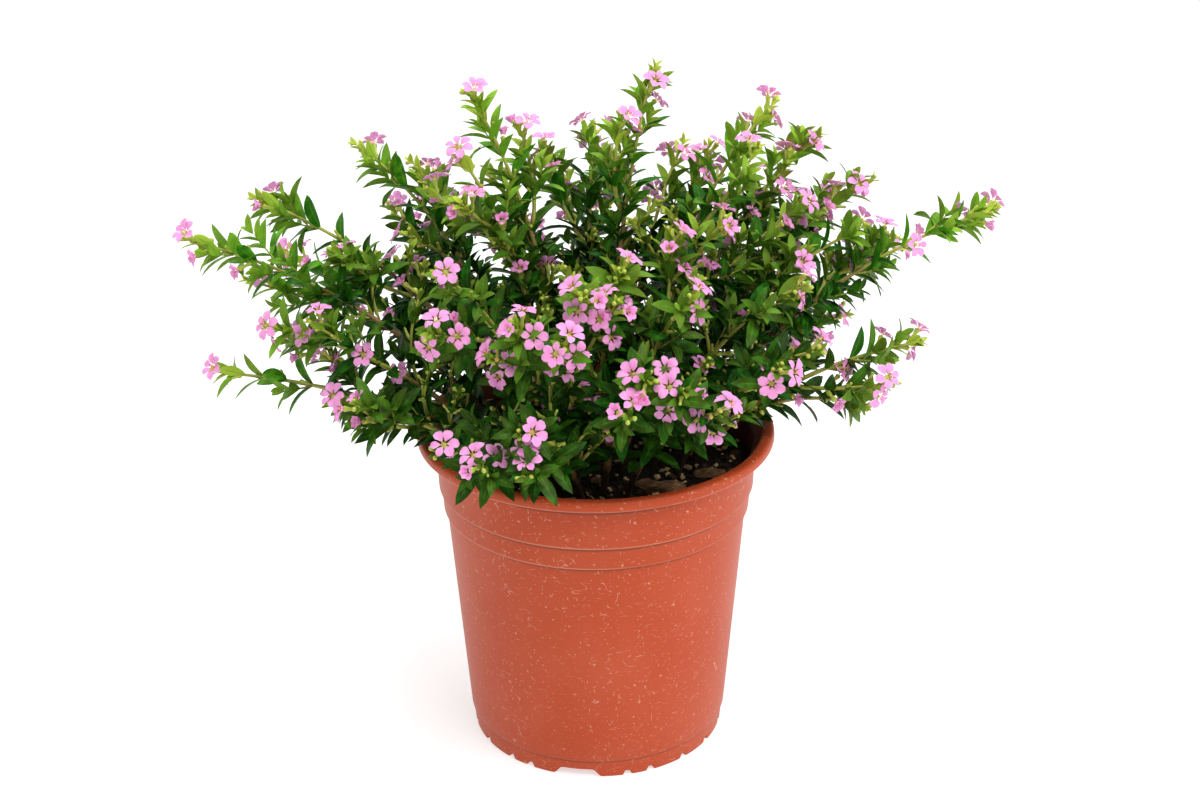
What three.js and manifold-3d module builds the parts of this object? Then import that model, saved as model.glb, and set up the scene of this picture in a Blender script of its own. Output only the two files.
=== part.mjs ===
// A false heather in a round plastic nursery pot, in millimetres, +Z up.
// The origin is on the pot's axis, at the surface that the pot stands on.
import * as THREE from 'three';
import { mergeVertices } from 'three/addons/utils/BufferGeometryUtils.js';
import Module from 'manifold-3d';

const wasm = await Module();
wasm.setup();

// Pot sizes
const POT_HEIGHT = 140;
const POT_SIDES = 36;
const RIM_RADIUS = 75;
const LIP_HEIGHT = 4.6;
const LIP_DEPTH = 7;
const BASE_RADIUS = 54.5;
const WALL = 1.8;
const FOOT_WIDTH = 2.8;
const FOOT_HEIGHT = 4;
const FLOOR = 2;
const DRAIN_HOLES = 4;
const DRAIN_RADIUS = 4.5;
const DRAIN_CIRCLE = 34;

// The wall is a taper between these radii, with two small steps near the top
const SKIRT_TOP = { radius: 56, height: 8.8 };
const TAPER_TOP = { radius: 63.6, height: 105 };
const LOWER_BAND = { inner: 64.9, outer: 65.5, top: 115 };
const UPPER_BAND = { inner: 66.6, outer: 67.6, top: POT_HEIGHT - LIP_HEIGHT };

// Notches in the foot: three wide ones, and narrow ones at these angles from each
const WIDE_NOTCHES = 3;
const WIDE_NOTCH = { width: 17, height: 3.4, slope: 2 };
const NARROW_NOTCH = { width: 3, height: 2 };
const NARROW_ANGLES = [-51.5, -33.5, -22.6, 22.6, 33.5, 51.5];
const FIRST_NOTCH_ANGLE = -99.5;

// Soil sizes
const SOIL_LEVEL = 125;
const SOIL_GAP = 0.35;
const SOIL_EDGE_DROP = 2;
const SOIL_LUMP = 1.3;
const COLLAR_HEIGHT = 2.5;
const SOIL_SIDES = 20;
const SOIL_RINGS = 3;

// Stem sizes
const ROOT_DEPTH = 16;
const CANE_RADIUS = 1.5;
const SHOOT_RADIUS = 1.1;
const CANE_STEPS = 5;
const SHOOT_STEPS = 2;
const HOLE_GAP = 0.4;
const HOLE_REACH = 14;
const LEAST_RISE = 36;
const FORK_ANGLE = 0.7;

// Leaf sizes
const LEAF_LENGTH = 18;
const LEAF_THICKNESS = 1.1;
const LEAF_ARCH = 0.02;
const LEAF_CLEARANCE = 0.5;
const LEAF_TRIM = 4;
const LEAF_STEPS = [2, 5, 8];
const LEAF_LIFTS = [0, 10, -10, 20, -18];
const LEAF_FACE_UP = 0.6;
const LEAFY_SHARE = 0.62;
const ROOT_SINK = 0.3;

// Bloom sizes
const PETALS = 6;
const BLOOM_RADIUS = 6.2;
const NOTCH_RADIUS = 3;
const TUBE_LENGTH = 7;
const TUBE_RADIUS = 1.25;
const BLOOM_TRIM = 3;
const BLOOM_SWINGS = [0, 22, -22, 45, -45];
const BLOOM_AIM = { along: 0.6, aside: 0.8, open: 0.3 };

// Each cane: where it leaves the soil, then the tips of its shoots, the leading one first
const CANES = [
  { foot: [-46, -4], tips: [[-155, -15, 171], [-124, -4, 182]] },
  { foot: [-32, -5], tips: [[-162, -15, 228], [-141, -2, 206]] },
  { foot: [-36, -16], tips: [[-130, -30, 197], [-110, -42, 203]] },
  { foot: [-42, -24], tips: [[-105, -42, 168], [-92, -64, 178]] },
  { foot: [-24, 3], tips: [[-139, 18, 234], [-104, -12, 222]] },
  { foot: [-24, 16], tips: [[-100, 45, 249], [-76, 38, 243]] },
  { foot: [-14, -4], tips: [[-55, -4, 261], [-68, 14, 238], [-52, -22, 245]] },
  { foot: [-8, 6], tips: [[-50, 12, 279], [-30, 24, 262]] },
  { foot: [-18, -14], tips: [[-60, -50, 226], [-62, -76, 211]] },
  { foot: [-16, -22], tips: [[-38, -80, 203], [-29, -85, 219]] },
  { foot: [-4, 20], tips: [[0, 80, 246], [-22, 70, 240]] },
  { foot: [3, 4], tips: [[25, 25, 286], [12, 16, 268]] },
  { foot: [10, 20], tips: [[38, 50, 247], [50, 62, 242]] },
  { foot: [14, 6], tips: [[73, 20, 272], [66, 8, 257]] },
  { foot: [22, 16], tips: [[95, 50, 250], [82, 40, 244]] },
  { foot: [30, 10], tips: [[115, 30, 236], [103, 40, 230]] },
  { foot: [34, -1], tips: [[161, 0, 233], [122, 14, 217]] },
  { foot: [24, -2], tips: [[109, 0, 226], [86, -6, 220]] },
  { foot: [42, -8], tips: [[131, -20, 184], [118, -34, 172]] },
  { foot: [48, 2], tips: [[112, -8, 150]] },
  { foot: [12, -6], tips: [[52, -20, 236], [84, 6, 236]] },
  { foot: [24, -13], tips: [[81, -40, 216]] },
  { foot: [34, -20], tips: [[85, -60, 197], [69, -76, 197]] },
  { foot: [11, -16], tips: [[37, -60, 218], [29, -22, 232]] },
  { foot: [0, -10], tips: [[10, -58, 229], [-4, -76, 226]] },
  { foot: [-8, -27], tips: [[-12, -92, 212], [8, -68, 220]] },
  { foot: [3, -37], tips: [[20, -96, 201], [33, -100, 198], [12, -106, 190]] },
  { foot: [13, -39], tips: [[46, -96, 187], [57, -84, 184]] },
  { foot: [-6, -44], tips: [[-28, -102, 182], [-26, -114, 170]] },
  { foot: [-22, -36], tips: [[-60, -86, 167], [-42, -106, 172]] },
  { foot: [42, 14], tips: [[132, 58, 200], [118, 74, 186]] },
  { foot: [32, 28], tips: [[98, 92, 204], [84, 84, 226]] },
  { foot: [14, 38], tips: [[46, 108, 196], [66, 104, 206]] },
  { foot: [-2, 34], tips: [[-12, 110, 214], [8, 107, 226]] },
  { foot: [-16, 40], tips: [[-34, 114, 190], [-54, 106, 200]] },
  { foot: [-28, 30], tips: [[-92, 88, 206], [-74, 84, 224]] },
  { foot: [-40, 16], tips: [[-134, 52, 198], [-118, 66, 186]] },
  { foot: [30, 42], tips: [[72, 106, 168]] },
  { foot: [-34, 38], tips: [[-86, 96, 170]] },
  { foot: [46, 24], tips: [[112, 66, 162]] },
];

// Bark chips: middle, half length, half width, thickness and turn in degrees
const CHIP_LIFT = 1.6;
const CHIPS = [
  { at: [26, -34], half: [13.5, 4], thick: 4, turn: -43 },
  { at: [47, -22], half: [7, 3], thick: 3, turn: -8 },
  { at: [1, -28], half: [5, 1.9], thick: 2.2, turn: -62 },
];

const UP = new THREE.Vector3(0, 0, 1);
const HEART = new THREE.Vector3(0, 0, 150);
const radians = THREE.MathUtils.degToRad;

// Solids and meshes

function toSolid(geometry) {
  const bare = geometry.clone();
  bare.deleteAttribute('normal');
  bare.deleteAttribute('uv');
  bare.clearGroups();
  const merged = mergeVertices(bare);
  const corners = merged.index.array;
  const kept = [];
  for (let i = 0; i < corners.length; i += 3) {
    const [a, b, c] = corners.slice(i, i + 3);
    if (a !== b && b !== c && c !== a) {
      kept.push(a, b, c);
    }
  }
  const vertProperties = new Float32Array(merged.attributes.position.array);
  return new wasm.Manifold(new wasm.Mesh({ numProp: 3, vertProperties, triVerts: new Uint32Array(kept) }));
}

function toGeometry(solid) {
  const mesh = solid.getMesh();
  const geometry = new THREE.BufferGeometry();
  geometry.setAttribute('position', new THREE.BufferAttribute(mesh.vertProperties, 3));
  geometry.setIndex(new THREE.BufferAttribute(mesh.triVerts, 1));
  const flat = geometry.toNonIndexed();
  flat.computeVertexNormals();
  return flat;
}

function largestBody(solid) {
  const bodies = solid.decompose();
  return bodies.reduce((best, body) => (body.volume() > best.volume() ? body : best));
}

// The same key always draws the same value between 0 and 1
function draw(key) {
  const swing = Math.sin(key * 12.9898 + 4.1) * 43758.5453;
  return swing - Math.floor(swing);
}

// A closed body from rings of points between two end points, each ring counted
// anticlockwise as seen from the top point
function ringBody(top, rings, bottom) {
  const count = rings[0].length;
  const geometry = new THREE.SphereGeometry(1, count, rings.length + 1);
  const rows = [rings[0].map(() => top), ...rings, rings[0].map(() => bottom)];
  rows.forEach((row, r) => {
    for (let c = 0; c <= count; c += 1) {
      geometry.attributes.position.setXYZ(r * (count + 1) + c, ...row[c % count]);
    }
  });
  return geometry;
}

// Pot

function potProfile() {
  const lipBottom = POT_HEIGHT - LIP_HEIGHT;
  const innerFloor = FOOT_HEIGHT + FLOOR;
  return [
    [0, FOOT_HEIGHT],
    [BASE_RADIUS - FOOT_WIDTH, FOOT_HEIGHT],
    [BASE_RADIUS - FOOT_WIDTH, 0],
    [BASE_RADIUS, 0],
    [SKIRT_TOP.radius - 0.9, SKIRT_TOP.height - 0.6],
    [SKIRT_TOP.radius, SKIRT_TOP.height],
    [TAPER_TOP.radius, TAPER_TOP.height - 0.5],
    [LOWER_BAND.inner, TAPER_TOP.height + 0.3],
    [LOWER_BAND.outer, LOWER_BAND.top - 0.5],
    [UPPER_BAND.inner, LOWER_BAND.top + 0.3],
    [UPPER_BAND.outer, UPPER_BAND.top],
    [RIM_RADIUS - 0.6, lipBottom],
    [RIM_RADIUS, lipBottom + 1],
    [RIM_RADIUS - 0.3, POT_HEIGHT - 1.3],
    [RIM_RADIUS - 1.6, POT_HEIGHT],
    [RIM_RADIUS - 3.2, POT_HEIGHT],
    [RIM_RADIUS - 6, POT_HEIGHT - 2.6],
    [UPPER_BAND.outer - WALL, POT_HEIGHT - LIP_DEPTH],
    [SKIRT_TOP.radius - WALL, SKIRT_TOP.height],
    [BASE_RADIUS - FOOT_WIDTH, innerFloor],
    [0, innerFloor],
  ];
}

function lathe(profile, sides) {
  const points = profile.map(([radius, height]) => new THREE.Vector2(radius, height));
  const geometry = new THREE.LatheGeometry(points, sides);
  geometry.rotateX(Math.PI / 2);
  return geometry;
}

// A wedge through the foot, wider at the bottom, pointing out along its angle
function notch({ width, height, slope = 0 }, angle) {
  const side = new THREE.Shape([
    new THREE.Vector2(-width / 2 - slope, -1),
    new THREE.Vector2(width / 2 + slope, -1),
    new THREE.Vector2(width / 2 - slope, height),
    new THREE.Vector2(-width / 2 + slope, height),
  ]);
  const geometry = new THREE.ExtrudeGeometry(side, { depth: 12, bevelEnabled: false });
  geometry.rotateX(Math.PI / 2);
  geometry.translate(0, BASE_RADIUS + 6, 0);
  geometry.rotateZ(radians(angle - 90));
  return toSolid(geometry);
}

function makePot() {
  const cuts = [];
  for (let i = 0; i < WIDE_NOTCHES; i += 1) {
    const middle = FIRST_NOTCH_ANGLE + (360 / WIDE_NOTCHES) * i;
    cuts.push(notch(WIDE_NOTCH, middle));
    NARROW_ANGLES.forEach((offset) => cuts.push(notch(NARROW_NOTCH, middle + offset)));
  }
  for (let i = 0; i < DRAIN_HOLES; i += 1) {
    const angle = radians((360 / DRAIN_HOLES) * i + 45);
    const hole = new THREE.CylinderGeometry(DRAIN_RADIUS, DRAIN_RADIUS, 8, 8);
    hole.rotateX(Math.PI / 2);
    hole.translate(Math.cos(angle) * DRAIN_CIRCLE, Math.sin(angle) * DRAIN_CIRCLE, FOOT_HEIGHT + FLOOR / 2);
    cuts.push(toSolid(hole));
  }
  return toSolid(lathe(potProfile(), POT_SIDES)).subtract(wasm.Manifold.union(cuts));
}

// Soil

function lump(x, y) {
  return SOIL_LUMP * (Math.sin(x * 0.21 + 1.3) * Math.cos(y * 0.17) + 0.5 * Math.sin(x * 0.43 - y * 0.39));
}

function soilBlock() {
  const bottom = FOOT_HEIGHT + FLOOR + SOIL_GAP;
  const shoulder = SKIRT_TOP.height + 3;
  const wallRun = POT_HEIGHT - LIP_DEPTH - SKIRT_TOP.height;
  const wallLean = (UPPER_BAND.outer - SKIRT_TOP.radius) / wallRun;
  const radiusAt = (height) => SKIRT_TOP.radius - WALL - SOIL_GAP + wallLean * (height - SKIRT_TOP.height);
  const profile = [[0, bottom], [BASE_RADIUS - FOOT_WIDTH - 1, bottom], [radiusAt(shoulder), shoulder]];
  const edge = radiusAt(SOIL_LEVEL) - SOIL_GAP;
  profile.push([edge, SOIL_LEVEL - SOIL_EDGE_DROP]);
  for (let ring = SOIL_RINGS; ring >= 0; ring -= 1) {
    profile.push([(edge - SOIL_EDGE_DROP) * (ring / SOIL_RINGS), SOIL_LEVEL]);
  }
  const geometry = lathe(profile, SOIL_SIDES);
  const { position } = geometry.attributes;
  for (let i = 0; i < position.count; i += 1) {
    if (position.getZ(i) > SOIL_LEVEL - 0.1) {
      position.setZ(i, SOIL_LEVEL + lump(position.getX(i), position.getY(i)));
    }
  }
  return toSolid(geometry);
}

// A square hole a little wider than the cane's foot, turned as the cane is
function stemHole(cane) {
  const radius = CANE_RADIUS + HOLE_GAP * Math.SQRT2;
  const height = ROOT_DEPTH + HOLE_REACH;
  const [side] = cane.sides(UP);
  const hole = new THREE.CylinderGeometry(radius, radius, height, 4);
  hole.rotateX(Math.PI / 2);
  hole.rotateZ(Math.atan2(side.y, side.x) + Math.PI / 4);
  hole.translate(cane.root.x, cane.root.y, cane.root.z - HOLE_GAP + height / 2);
  return toSolid(hole);
}

function chipBody({ at, half, thick, turn }, grow) {
  const [length, width] = half;
  const corners = [[-1, -0.25], [-0.55, -0.9], [0.5, -1], [1, -0.1], [0.6, 0.85], [-0.6, 0.95]];
  const outline = corners.map(([x, y]) => new THREE.Vector2(x * (length + grow), y * (width + grow)));
  const depth = thick + 2 * grow;
  const geometry = new THREE.ExtrudeGeometry(new THREE.Shape(outline), { depth, bevelEnabled: false });
  geometry.translate(0, 0, -depth / 2);
  geometry.rotateY(radians(turn / 3));
  geometry.rotateZ(radians(turn));
  geometry.translate(at[0], at[1], SOIL_LEVEL + CHIP_LIFT);
  return toSolid(geometry);
}

function makeSoil(canes) {
  const holes = canes.map(([{ curve }]) => stemHole(curve));
  const beds = CHIPS.map((chip) => chipBody(chip, HOLE_GAP));
  return largestBody(soilBlock().subtract(wasm.Manifold.union([...holes, ...beds])));
}

// Stems

// A stem's curve for a square section, turned about the curve from a direction
// across it; leaves, blooms and side shoots stand on the four sides
class StemCurve extends THREE.Curve {
  constructor(key, arc, across, turn, root) {
    super();
    this.key = key;
    this.arc = arc;
    this.across = across;
    this.turn = turn;
    this.root = root;
  }

  getPoint(t, target = new THREE.Vector3()) {
    if (!this.root) {
      return this.arc.getPoint(t, target);
    }
    const step = t * CANE_STEPS;
    if (step < 1) {
      return target.lerpVectors(this.root, this.arc.v0, step);
    }
    return this.arc.getPoint((step - 1) / (CANE_STEPS - 1), target);
  }

  getUtoTmapping(u) {
    return u;
  }

  // The four ways out of the stem's sides, in turn round it, for a direction along it
  sides(along) {
    const first = this.across.clone().addScaledVector(along, -this.across.dot(along)).normalize();
    first.applyAxisAngle(along, this.turn);
    const second = new THREE.Vector3().crossVectors(along, first);
    return [first, second, first.clone().negate(), second.clone().negate()];
  }

  computeFrenetFrames(steps) {
    const frames = { tangents: [], normals: [], binormals: [] };
    for (let i = 0; i <= steps; i += 1) {
      const tangent = this.getTangent(i / steps);
      const [normal, binormal] = this.sides(tangent);
      frames.tangents.push(tangent);
      frames.normals.push(normal);
      frames.binormals.push(binormal);
    }
    return frames;
  }

  // A place counted back from the tip, with the stem's direction and sides there
  stand(back) {
    const u = 1 - back / this.arc.getLength();
    const along = this.arc.getTangentAt(u);
    return { place: this.arc.getPointAt(u), along, sides: this.sides(along) };
  }
}

// A cane stands upright in the soil, then leans out along one arc to its tip
function caneCurve(key, [x, y], tip) {
  const end = new THREE.Vector3(...tip);
  const rise = Math.max(0.75 * (end.z - SOIL_LEVEL), LEAST_RISE);
  const knee = new THREE.Vector3(x + 0.35 * (end.x - x), y + 0.35 * (end.y - y), SOIL_LEVEL + rise);
  const collar = new THREE.Vector3(x, y, SOIL_LEVEL + COLLAR_HEIGHT);
  const root = new THREE.Vector3(x, y, SOIL_LEVEL - ROOT_DEPTH);
  const level = new THREE.Vector3(end.y - y, x - end.x, 0);
  const turn = draw(key) * Math.PI / 2;
  return new StemCurve(key, new THREE.QuadraticBezierCurve3(collar, knee, end), level, turn, root);
}

// A side shoot leaves the cane part way up, out of the side nearest to its own
// tip, and bends round to that tip
function forkCurve(key, cane, tip, order) {
  const end = new THREE.Vector3(...tip);
  const along = 0.5 + 0.12 * (order - 1);
  const start = cane.arc.getPoint(along);
  const tangent = cane.arc.getTangent(along);
  const chord = end.clone().sub(start);
  const [side, across] = cane.sides(tangent).sort((a, b) => b.dot(chord) - a.dot(chord));
  const leaving = tangent.multiplyScalar(Math.cos(FORK_ANGLE)).addScaledVector(side, Math.sin(FORK_ANGLE));
  const bend = leaving.multiplyScalar(0.4 * chord.length()).add(start);
  return new StemCurve(key, new THREE.QuadraticBezierCurve3(start, bend, end), across, 0, null);
}

function tube(curve, radius, steps) {
  const flat = radius / Math.SQRT2;
  const corners = [[-flat, -flat], [flat, -flat], [flat, flat], [-flat, flat]];
  const section = new THREE.Shape(corners.map(([x, y]) => new THREE.Vector2(x, y)));
  return toSolid(new THREE.ExtrudeGeometry(section, { steps, extrudePath: curve, bevelEnabled: false }));
}

// The shoots of one cane, each with the curve that its leaves and blooms stand on
function shootsOf({ foot, tips }, index) {
  const cane = caneCurve(index * 100, foot, tips[0]);
  const shoots = [{ curve: cane, stem: tube(cane, CANE_RADIUS, CANE_STEPS) }];
  tips.slice(1).forEach((tip, i) => {
    const curve = forkCurve(index * 100 + 10 * (i + 1), cane, tip, i + 1);
    shoots.push({ curve, stem: tube(curve, SHOOT_RADIUS, SHOOT_STEPS) });
  });
  return shoots;
}

function frameAt(place, x, z) {
  const y = new THREE.Vector3().crossVectors(z, x).normalize();
  return new THREE.Matrix4().makeBasis(x, y, z).setPosition(place);
}

// Leaves

// A slightly arched blade along +X with a rib along its upper face, which looks
// towards +Z, and its root sunk in the stem; a trimmed one starts further out
function leafBody({ length, width }, grow, trim) {
  const half = width / 2 + grow;
  const rib = Math.max(0.34 * length, trim + 1);
  const wide = Math.max(0.36 * length, trim + 1);
  const narrow = 0.7 * length;
  const rise = LEAF_ARCH * length;
  const root = [trim || -ROOT_SINK, 0, 0];
  const outline = [
    root,
    [wide, -0.92 * half, rise],
    [narrow, -0.8 * half, rise],
    [length + grow, 0, -rise],
    [narrow, 0.8 * half, rise],
    [wide, 0.92 * half, rise],
  ];
  const under = grow ? [rib, 0, -grow] : outline[5];
  return ringBody([rib, 0, rise + LEAF_THICKNESS + grow], [outline], under);
}

// Node distances back from the tip widen down the shoot, and leaves grow with them
function leafNode(step) {
  const back = step < 7 ? 2 + 4 * step + 0.75 * step * step : 62.75 + 9.5 * (step - 7);
  return { back, length: Math.min(7 + 3.5 * step, LEAF_LENGTH) };
}

// Opposite leaves stand on two sides of the stem, and the next pair on the other two
function leafFrame(curve, step, side, lift) {
  const { place, along, sides } = curve.stand(leafNode(step).back);
  const outward = sides[(step % 2) + 2 * side];
  const lean = 14 * (draw(curve.key + 7 * step + side) - 0.5);
  const spread = radians(Math.min(30 + 7 * step, 62) + lean + lift);
  const x = along.clone().multiplyScalar(Math.cos(spread)).addScaledVector(outward, Math.sin(spread));
  const face = along.clone().multiplyScalar(Math.sin(spread)).addScaledVector(outward, -Math.cos(spread));
  const z = face.addScaledVector(UP, LEAF_FACE_UP);
  z.addScaledVector(x, -z.dot(x)).normalize();
  return frameAt(place, x, z);
}

function leafSize(key, step, side) {
  const length = leafNode(step).length * (0.9 + 0.2 * draw(key + 3 * step + side));
  return { length, width: 0.25 * length + 1.5 };
}

// Blooms

// Six petals with notches between them, on a slim tube along +Z; the two
// petals on the +X side are the shorter ones
function bloomBody(grow, trim) {
  const petals = [];
  const throat = [];
  for (let i = 0; i < 2 * PETALS; i += 1) {
    const angle = (Math.PI / PETALS) * i;
    const upper = i === 1 || i === 2 * PETALS - 1;
    const notched = i % 2 === 0;
    const radius = (notched ? NOTCH_RADIUS : BLOOM_RADIUS * (upper ? 0.9 : 1)) + grow;
    petals.push([Math.cos(angle) * radius, Math.sin(angle) * radius, TUBE_LENGTH + (notched ? 0.8 : 1.3)]);
    const corner = (2 * Math.PI / 3) * Math.floor(3 * i / (2 * PETALS));
    throat.push([Math.cos(corner) * TUBE_RADIUS, Math.sin(corner) * TUBE_RADIUS, TUBE_LENGTH - grow]);
  }
  return ringBody([0, 0, TUBE_LENGTH + 1.2 + grow], [petals, throat], [0, 0, trim || -ROOT_SINK]);
}

// A bloom stands at a node, on one of the two sides that bear no leaf there:
// the side that looks out from the plant and up, or for every other one its opposite
function bloomFrame(curve, order, turn) {
  const step = 1 + order + Math.floor(1.5 * draw(curve.key + 31 * order));
  const { place, along, sides } = curve.stand(leafNode(step).back - 1);
  const open = place.clone().sub(HEART).normalize().addScaledVector(UP, 0.5);
  const free = [sides[(step + 1) % 2], sides[(step + 1) % 2 + 2]];
  free.sort((a, b) => b.dot(open) - a.dot(open));
  const outward = free[(order + turn.swap) % 2];
  const aim = outward.clone().applyAxisAngle(along, radians(turn.swing));
  const z = along.clone().multiplyScalar(BLOOM_AIM.along).addScaledVector(aim, BLOOM_AIM.aside);
  z.addScaledVector(open, BLOOM_AIM.open).normalize();
  const x = along.clone().addScaledVector(z, -along.dot(z)).normalize();
  return frameAt(place, x, z);
}

function bloomCount(curve) {
  return curve.arc.getLength() < 40 ? 1 : 1 + Math.floor(2.2 * draw(curve.key + 5));
}

// Everything placed so far, so that nothing new is put through it
const placed = [];

function boundsOf(solid) {
  const { min, max } = solid.boundingBox();
  return new THREE.Box3(new THREE.Vector3(...min), new THREE.Vector3(...max));
}

function place(cane, solid) {
  placed.push({ cane, solid, bounds: boundsOf(solid) });
}

function meets(solid, others) {
  const bounds = boundsOf(solid);
  const near = others.filter((other) => bounds.intersectsBox(other.bounds));
  return near.some((other) => !solid.intersect(other.solid).isEmpty());
}

// Tries each bend in turn and keeps the first that is clear of every other
// cane along its whole length, and of its own cane past the root
function placeClear(cane, build, bends, trim) {
  for (const bend of bends) {
    const others = placed.filter((other) => other.cane !== cane);
    const own = placed.filter((other) => other.cane === cane);
    const clearOfOthers = !meets(build(bend, LEAF_CLEARANCE, 0), others);
    if (clearOfOthers && !meets(build(bend, LEAF_CLEARANCE / 2, trim), own)) {
      place(cane, build(bend, 0, 0));
      return;
    }
  }
}

function addBlooms({ curve }, cane) {
  const turns = BLOOM_SWINGS.flatMap((swing) => [{ swing, swap: 0 }, { swing, swap: 1 }]);
  for (let order = 0; order < bloomCount(curve); order += 1) {
    const build = (turn, grow, trim) => {
      const frame = bloomFrame(curve, order, turn);
      return toSolid(bloomBody(grow, trim).applyMatrix4(frame));
    };
    placeClear(cane, build, turns, BLOOM_TRIM);
  }
}

function addLeaves({ curve }, cane, step) {
  if (leafNode(step).back > LEAFY_SHARE * curve.arc.getLength()) {
    return;
  }
  for (let side = 0; side < 2; side += 1) {
    const size = leafSize(curve.key, step, side);
    const build = (lift, grow, trim) => {
      const frame = leafFrame(curve, step, side, lift);
      return toSolid(leafBody(size, grow, trim).applyMatrix4(frame));
    };
    placeClear(cane, build, LEAF_LIFTS, LEAF_TRIM);
  }
}

// Assembly

const COLOURS = {
  pot: { color: 0xc35a3c, roughness: 0.55, metalness: 0 },
  soil: { color: 0x1c1512, roughness: 0.95, metalness: 0 },
  bark: { color: 0x5a4028, roughness: 0.85, metalness: 0 },
  cane: { color: 0x2f6b2a, roughness: 0.5, metalness: 0 },
};

const plant = new THREE.Group();

function addMesh(name, solid, look) {
  const mesh = new THREE.Mesh(toGeometry(solid), new THREE.MeshStandardMaterial(COLOURS[look]));
  mesh.name = name;
  plant.add(mesh);
}

const canes = CANES.map(shootsOf);
const pot = makePot();
const soil = makeSoil(canes);
const chips = CHIPS.map((chip) => chipBody(chip, 0));
addMesh('pot', pot, 'pot');
addMesh('soil', soil, 'soil');
chips.forEach((chip, i) => addMesh(`bark_chip_${i + 1}`, chip, 'bark'));

[pot, soil, ...chips].forEach((solid) => place(-1, solid));
canes.forEach((shoots, cane) => shoots.forEach(({ stem }) => place(cane, stem)));
canes.forEach((shoots, cane) => shoots.forEach((shoot) => addBlooms(shoot, cane)));
LEAF_STEPS.forEach((step) => {
  canes.forEach((shoots, cane) => shoots.forEach((shoot) => addLeaves(shoot, cane, step)));
});

canes.forEach((shoots, cane) => {
  const solids = placed.filter((part) => part.cane === cane).map((part) => part.solid);
  const name = `cane_${String(cane + 1).padStart(2, '0')}`;
  addMesh(name, largestBody(wasm.Manifold.union(solids)), 'cane');
});

export default plant;
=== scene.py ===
"""A flowering false heather in a round plastic nursery pot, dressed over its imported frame, in metres."""

import math
import random
from functools import cache

import bmesh
import bpy
from bpy.props import FloatProperty, FloatVectorProperty, IntProperty, PointerProperty
from mathutils import Matrix, Vector, noise


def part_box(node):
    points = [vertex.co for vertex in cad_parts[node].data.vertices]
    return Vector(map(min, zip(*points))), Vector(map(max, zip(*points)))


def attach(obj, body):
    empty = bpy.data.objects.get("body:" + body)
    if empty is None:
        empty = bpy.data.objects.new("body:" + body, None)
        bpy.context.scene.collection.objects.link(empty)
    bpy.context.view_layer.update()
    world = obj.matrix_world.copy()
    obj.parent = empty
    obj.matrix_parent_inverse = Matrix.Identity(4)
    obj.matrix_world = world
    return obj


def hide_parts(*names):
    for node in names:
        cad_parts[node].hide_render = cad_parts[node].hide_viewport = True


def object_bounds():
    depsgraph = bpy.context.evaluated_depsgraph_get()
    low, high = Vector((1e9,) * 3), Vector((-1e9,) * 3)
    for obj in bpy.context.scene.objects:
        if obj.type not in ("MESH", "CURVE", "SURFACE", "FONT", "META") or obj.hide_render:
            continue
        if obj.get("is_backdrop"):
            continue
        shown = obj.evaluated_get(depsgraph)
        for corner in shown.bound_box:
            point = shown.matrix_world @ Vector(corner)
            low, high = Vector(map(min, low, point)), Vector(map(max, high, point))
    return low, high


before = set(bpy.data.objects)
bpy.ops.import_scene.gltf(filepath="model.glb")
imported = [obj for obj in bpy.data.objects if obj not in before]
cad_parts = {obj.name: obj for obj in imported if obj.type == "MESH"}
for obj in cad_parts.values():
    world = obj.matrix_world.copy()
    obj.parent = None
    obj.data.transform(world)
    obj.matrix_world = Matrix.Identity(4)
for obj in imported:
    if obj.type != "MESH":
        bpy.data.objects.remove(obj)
CAD_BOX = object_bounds()

bl_info = {
    "name": "Potted False Heather",
    "version": (1, 0, 0),
    "blender": (4, 5, 0),
    "location": "View3D > Sidebar > Heather",
    "description": "Builds a potted false heather round its frame",
    "category": "Add Mesh",
}

MM = 0.001
UP = Vector((0, 0, 1))
HEART = Vector((0, 0, 150 * MM))
BODY = "root"
WHITE = (1.0, 1.0, 1.0)

# Leaves and blooms may stand this far out of the frame's box
STRAY = 5 * MM

# Leaves and blooms keep this far from the lip and the soil, and inside the pot within this radius
OVER_LIP = 1 * MM
ROUND_LIP = 1.5 * MM
OVER_SOIL = 2.5 * MM
INSIDE = 61 * MM

# Corners nearer to each other than this become one
SEAM = 0.0005 * MM

POT_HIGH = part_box("pot")[1]
RIM_RADIUS = POT_HIGH.x
POT_HEIGHT = POT_HIGH.z

# Stems as the frame has them: heights and depths in millimetres, and the side shoots' angle in radians
SOIL_LEVEL = 125
COLLAR_HEIGHT = 2.5
ROOT_DEPTH = 8
LEAST_RISE = 36
FORK_ANGLE = 0.7

# Short shoots on each cane that fill the crown
FILLS = 3

# Thickness of a tuft's twig at its tip and foot, and the length of a stem's ripples and faces
TWIG = (0.3 * MM, 0.5 * MM)
RIPPLE = 1.9 * MM
STEM_STEP = 5 * MM

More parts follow.
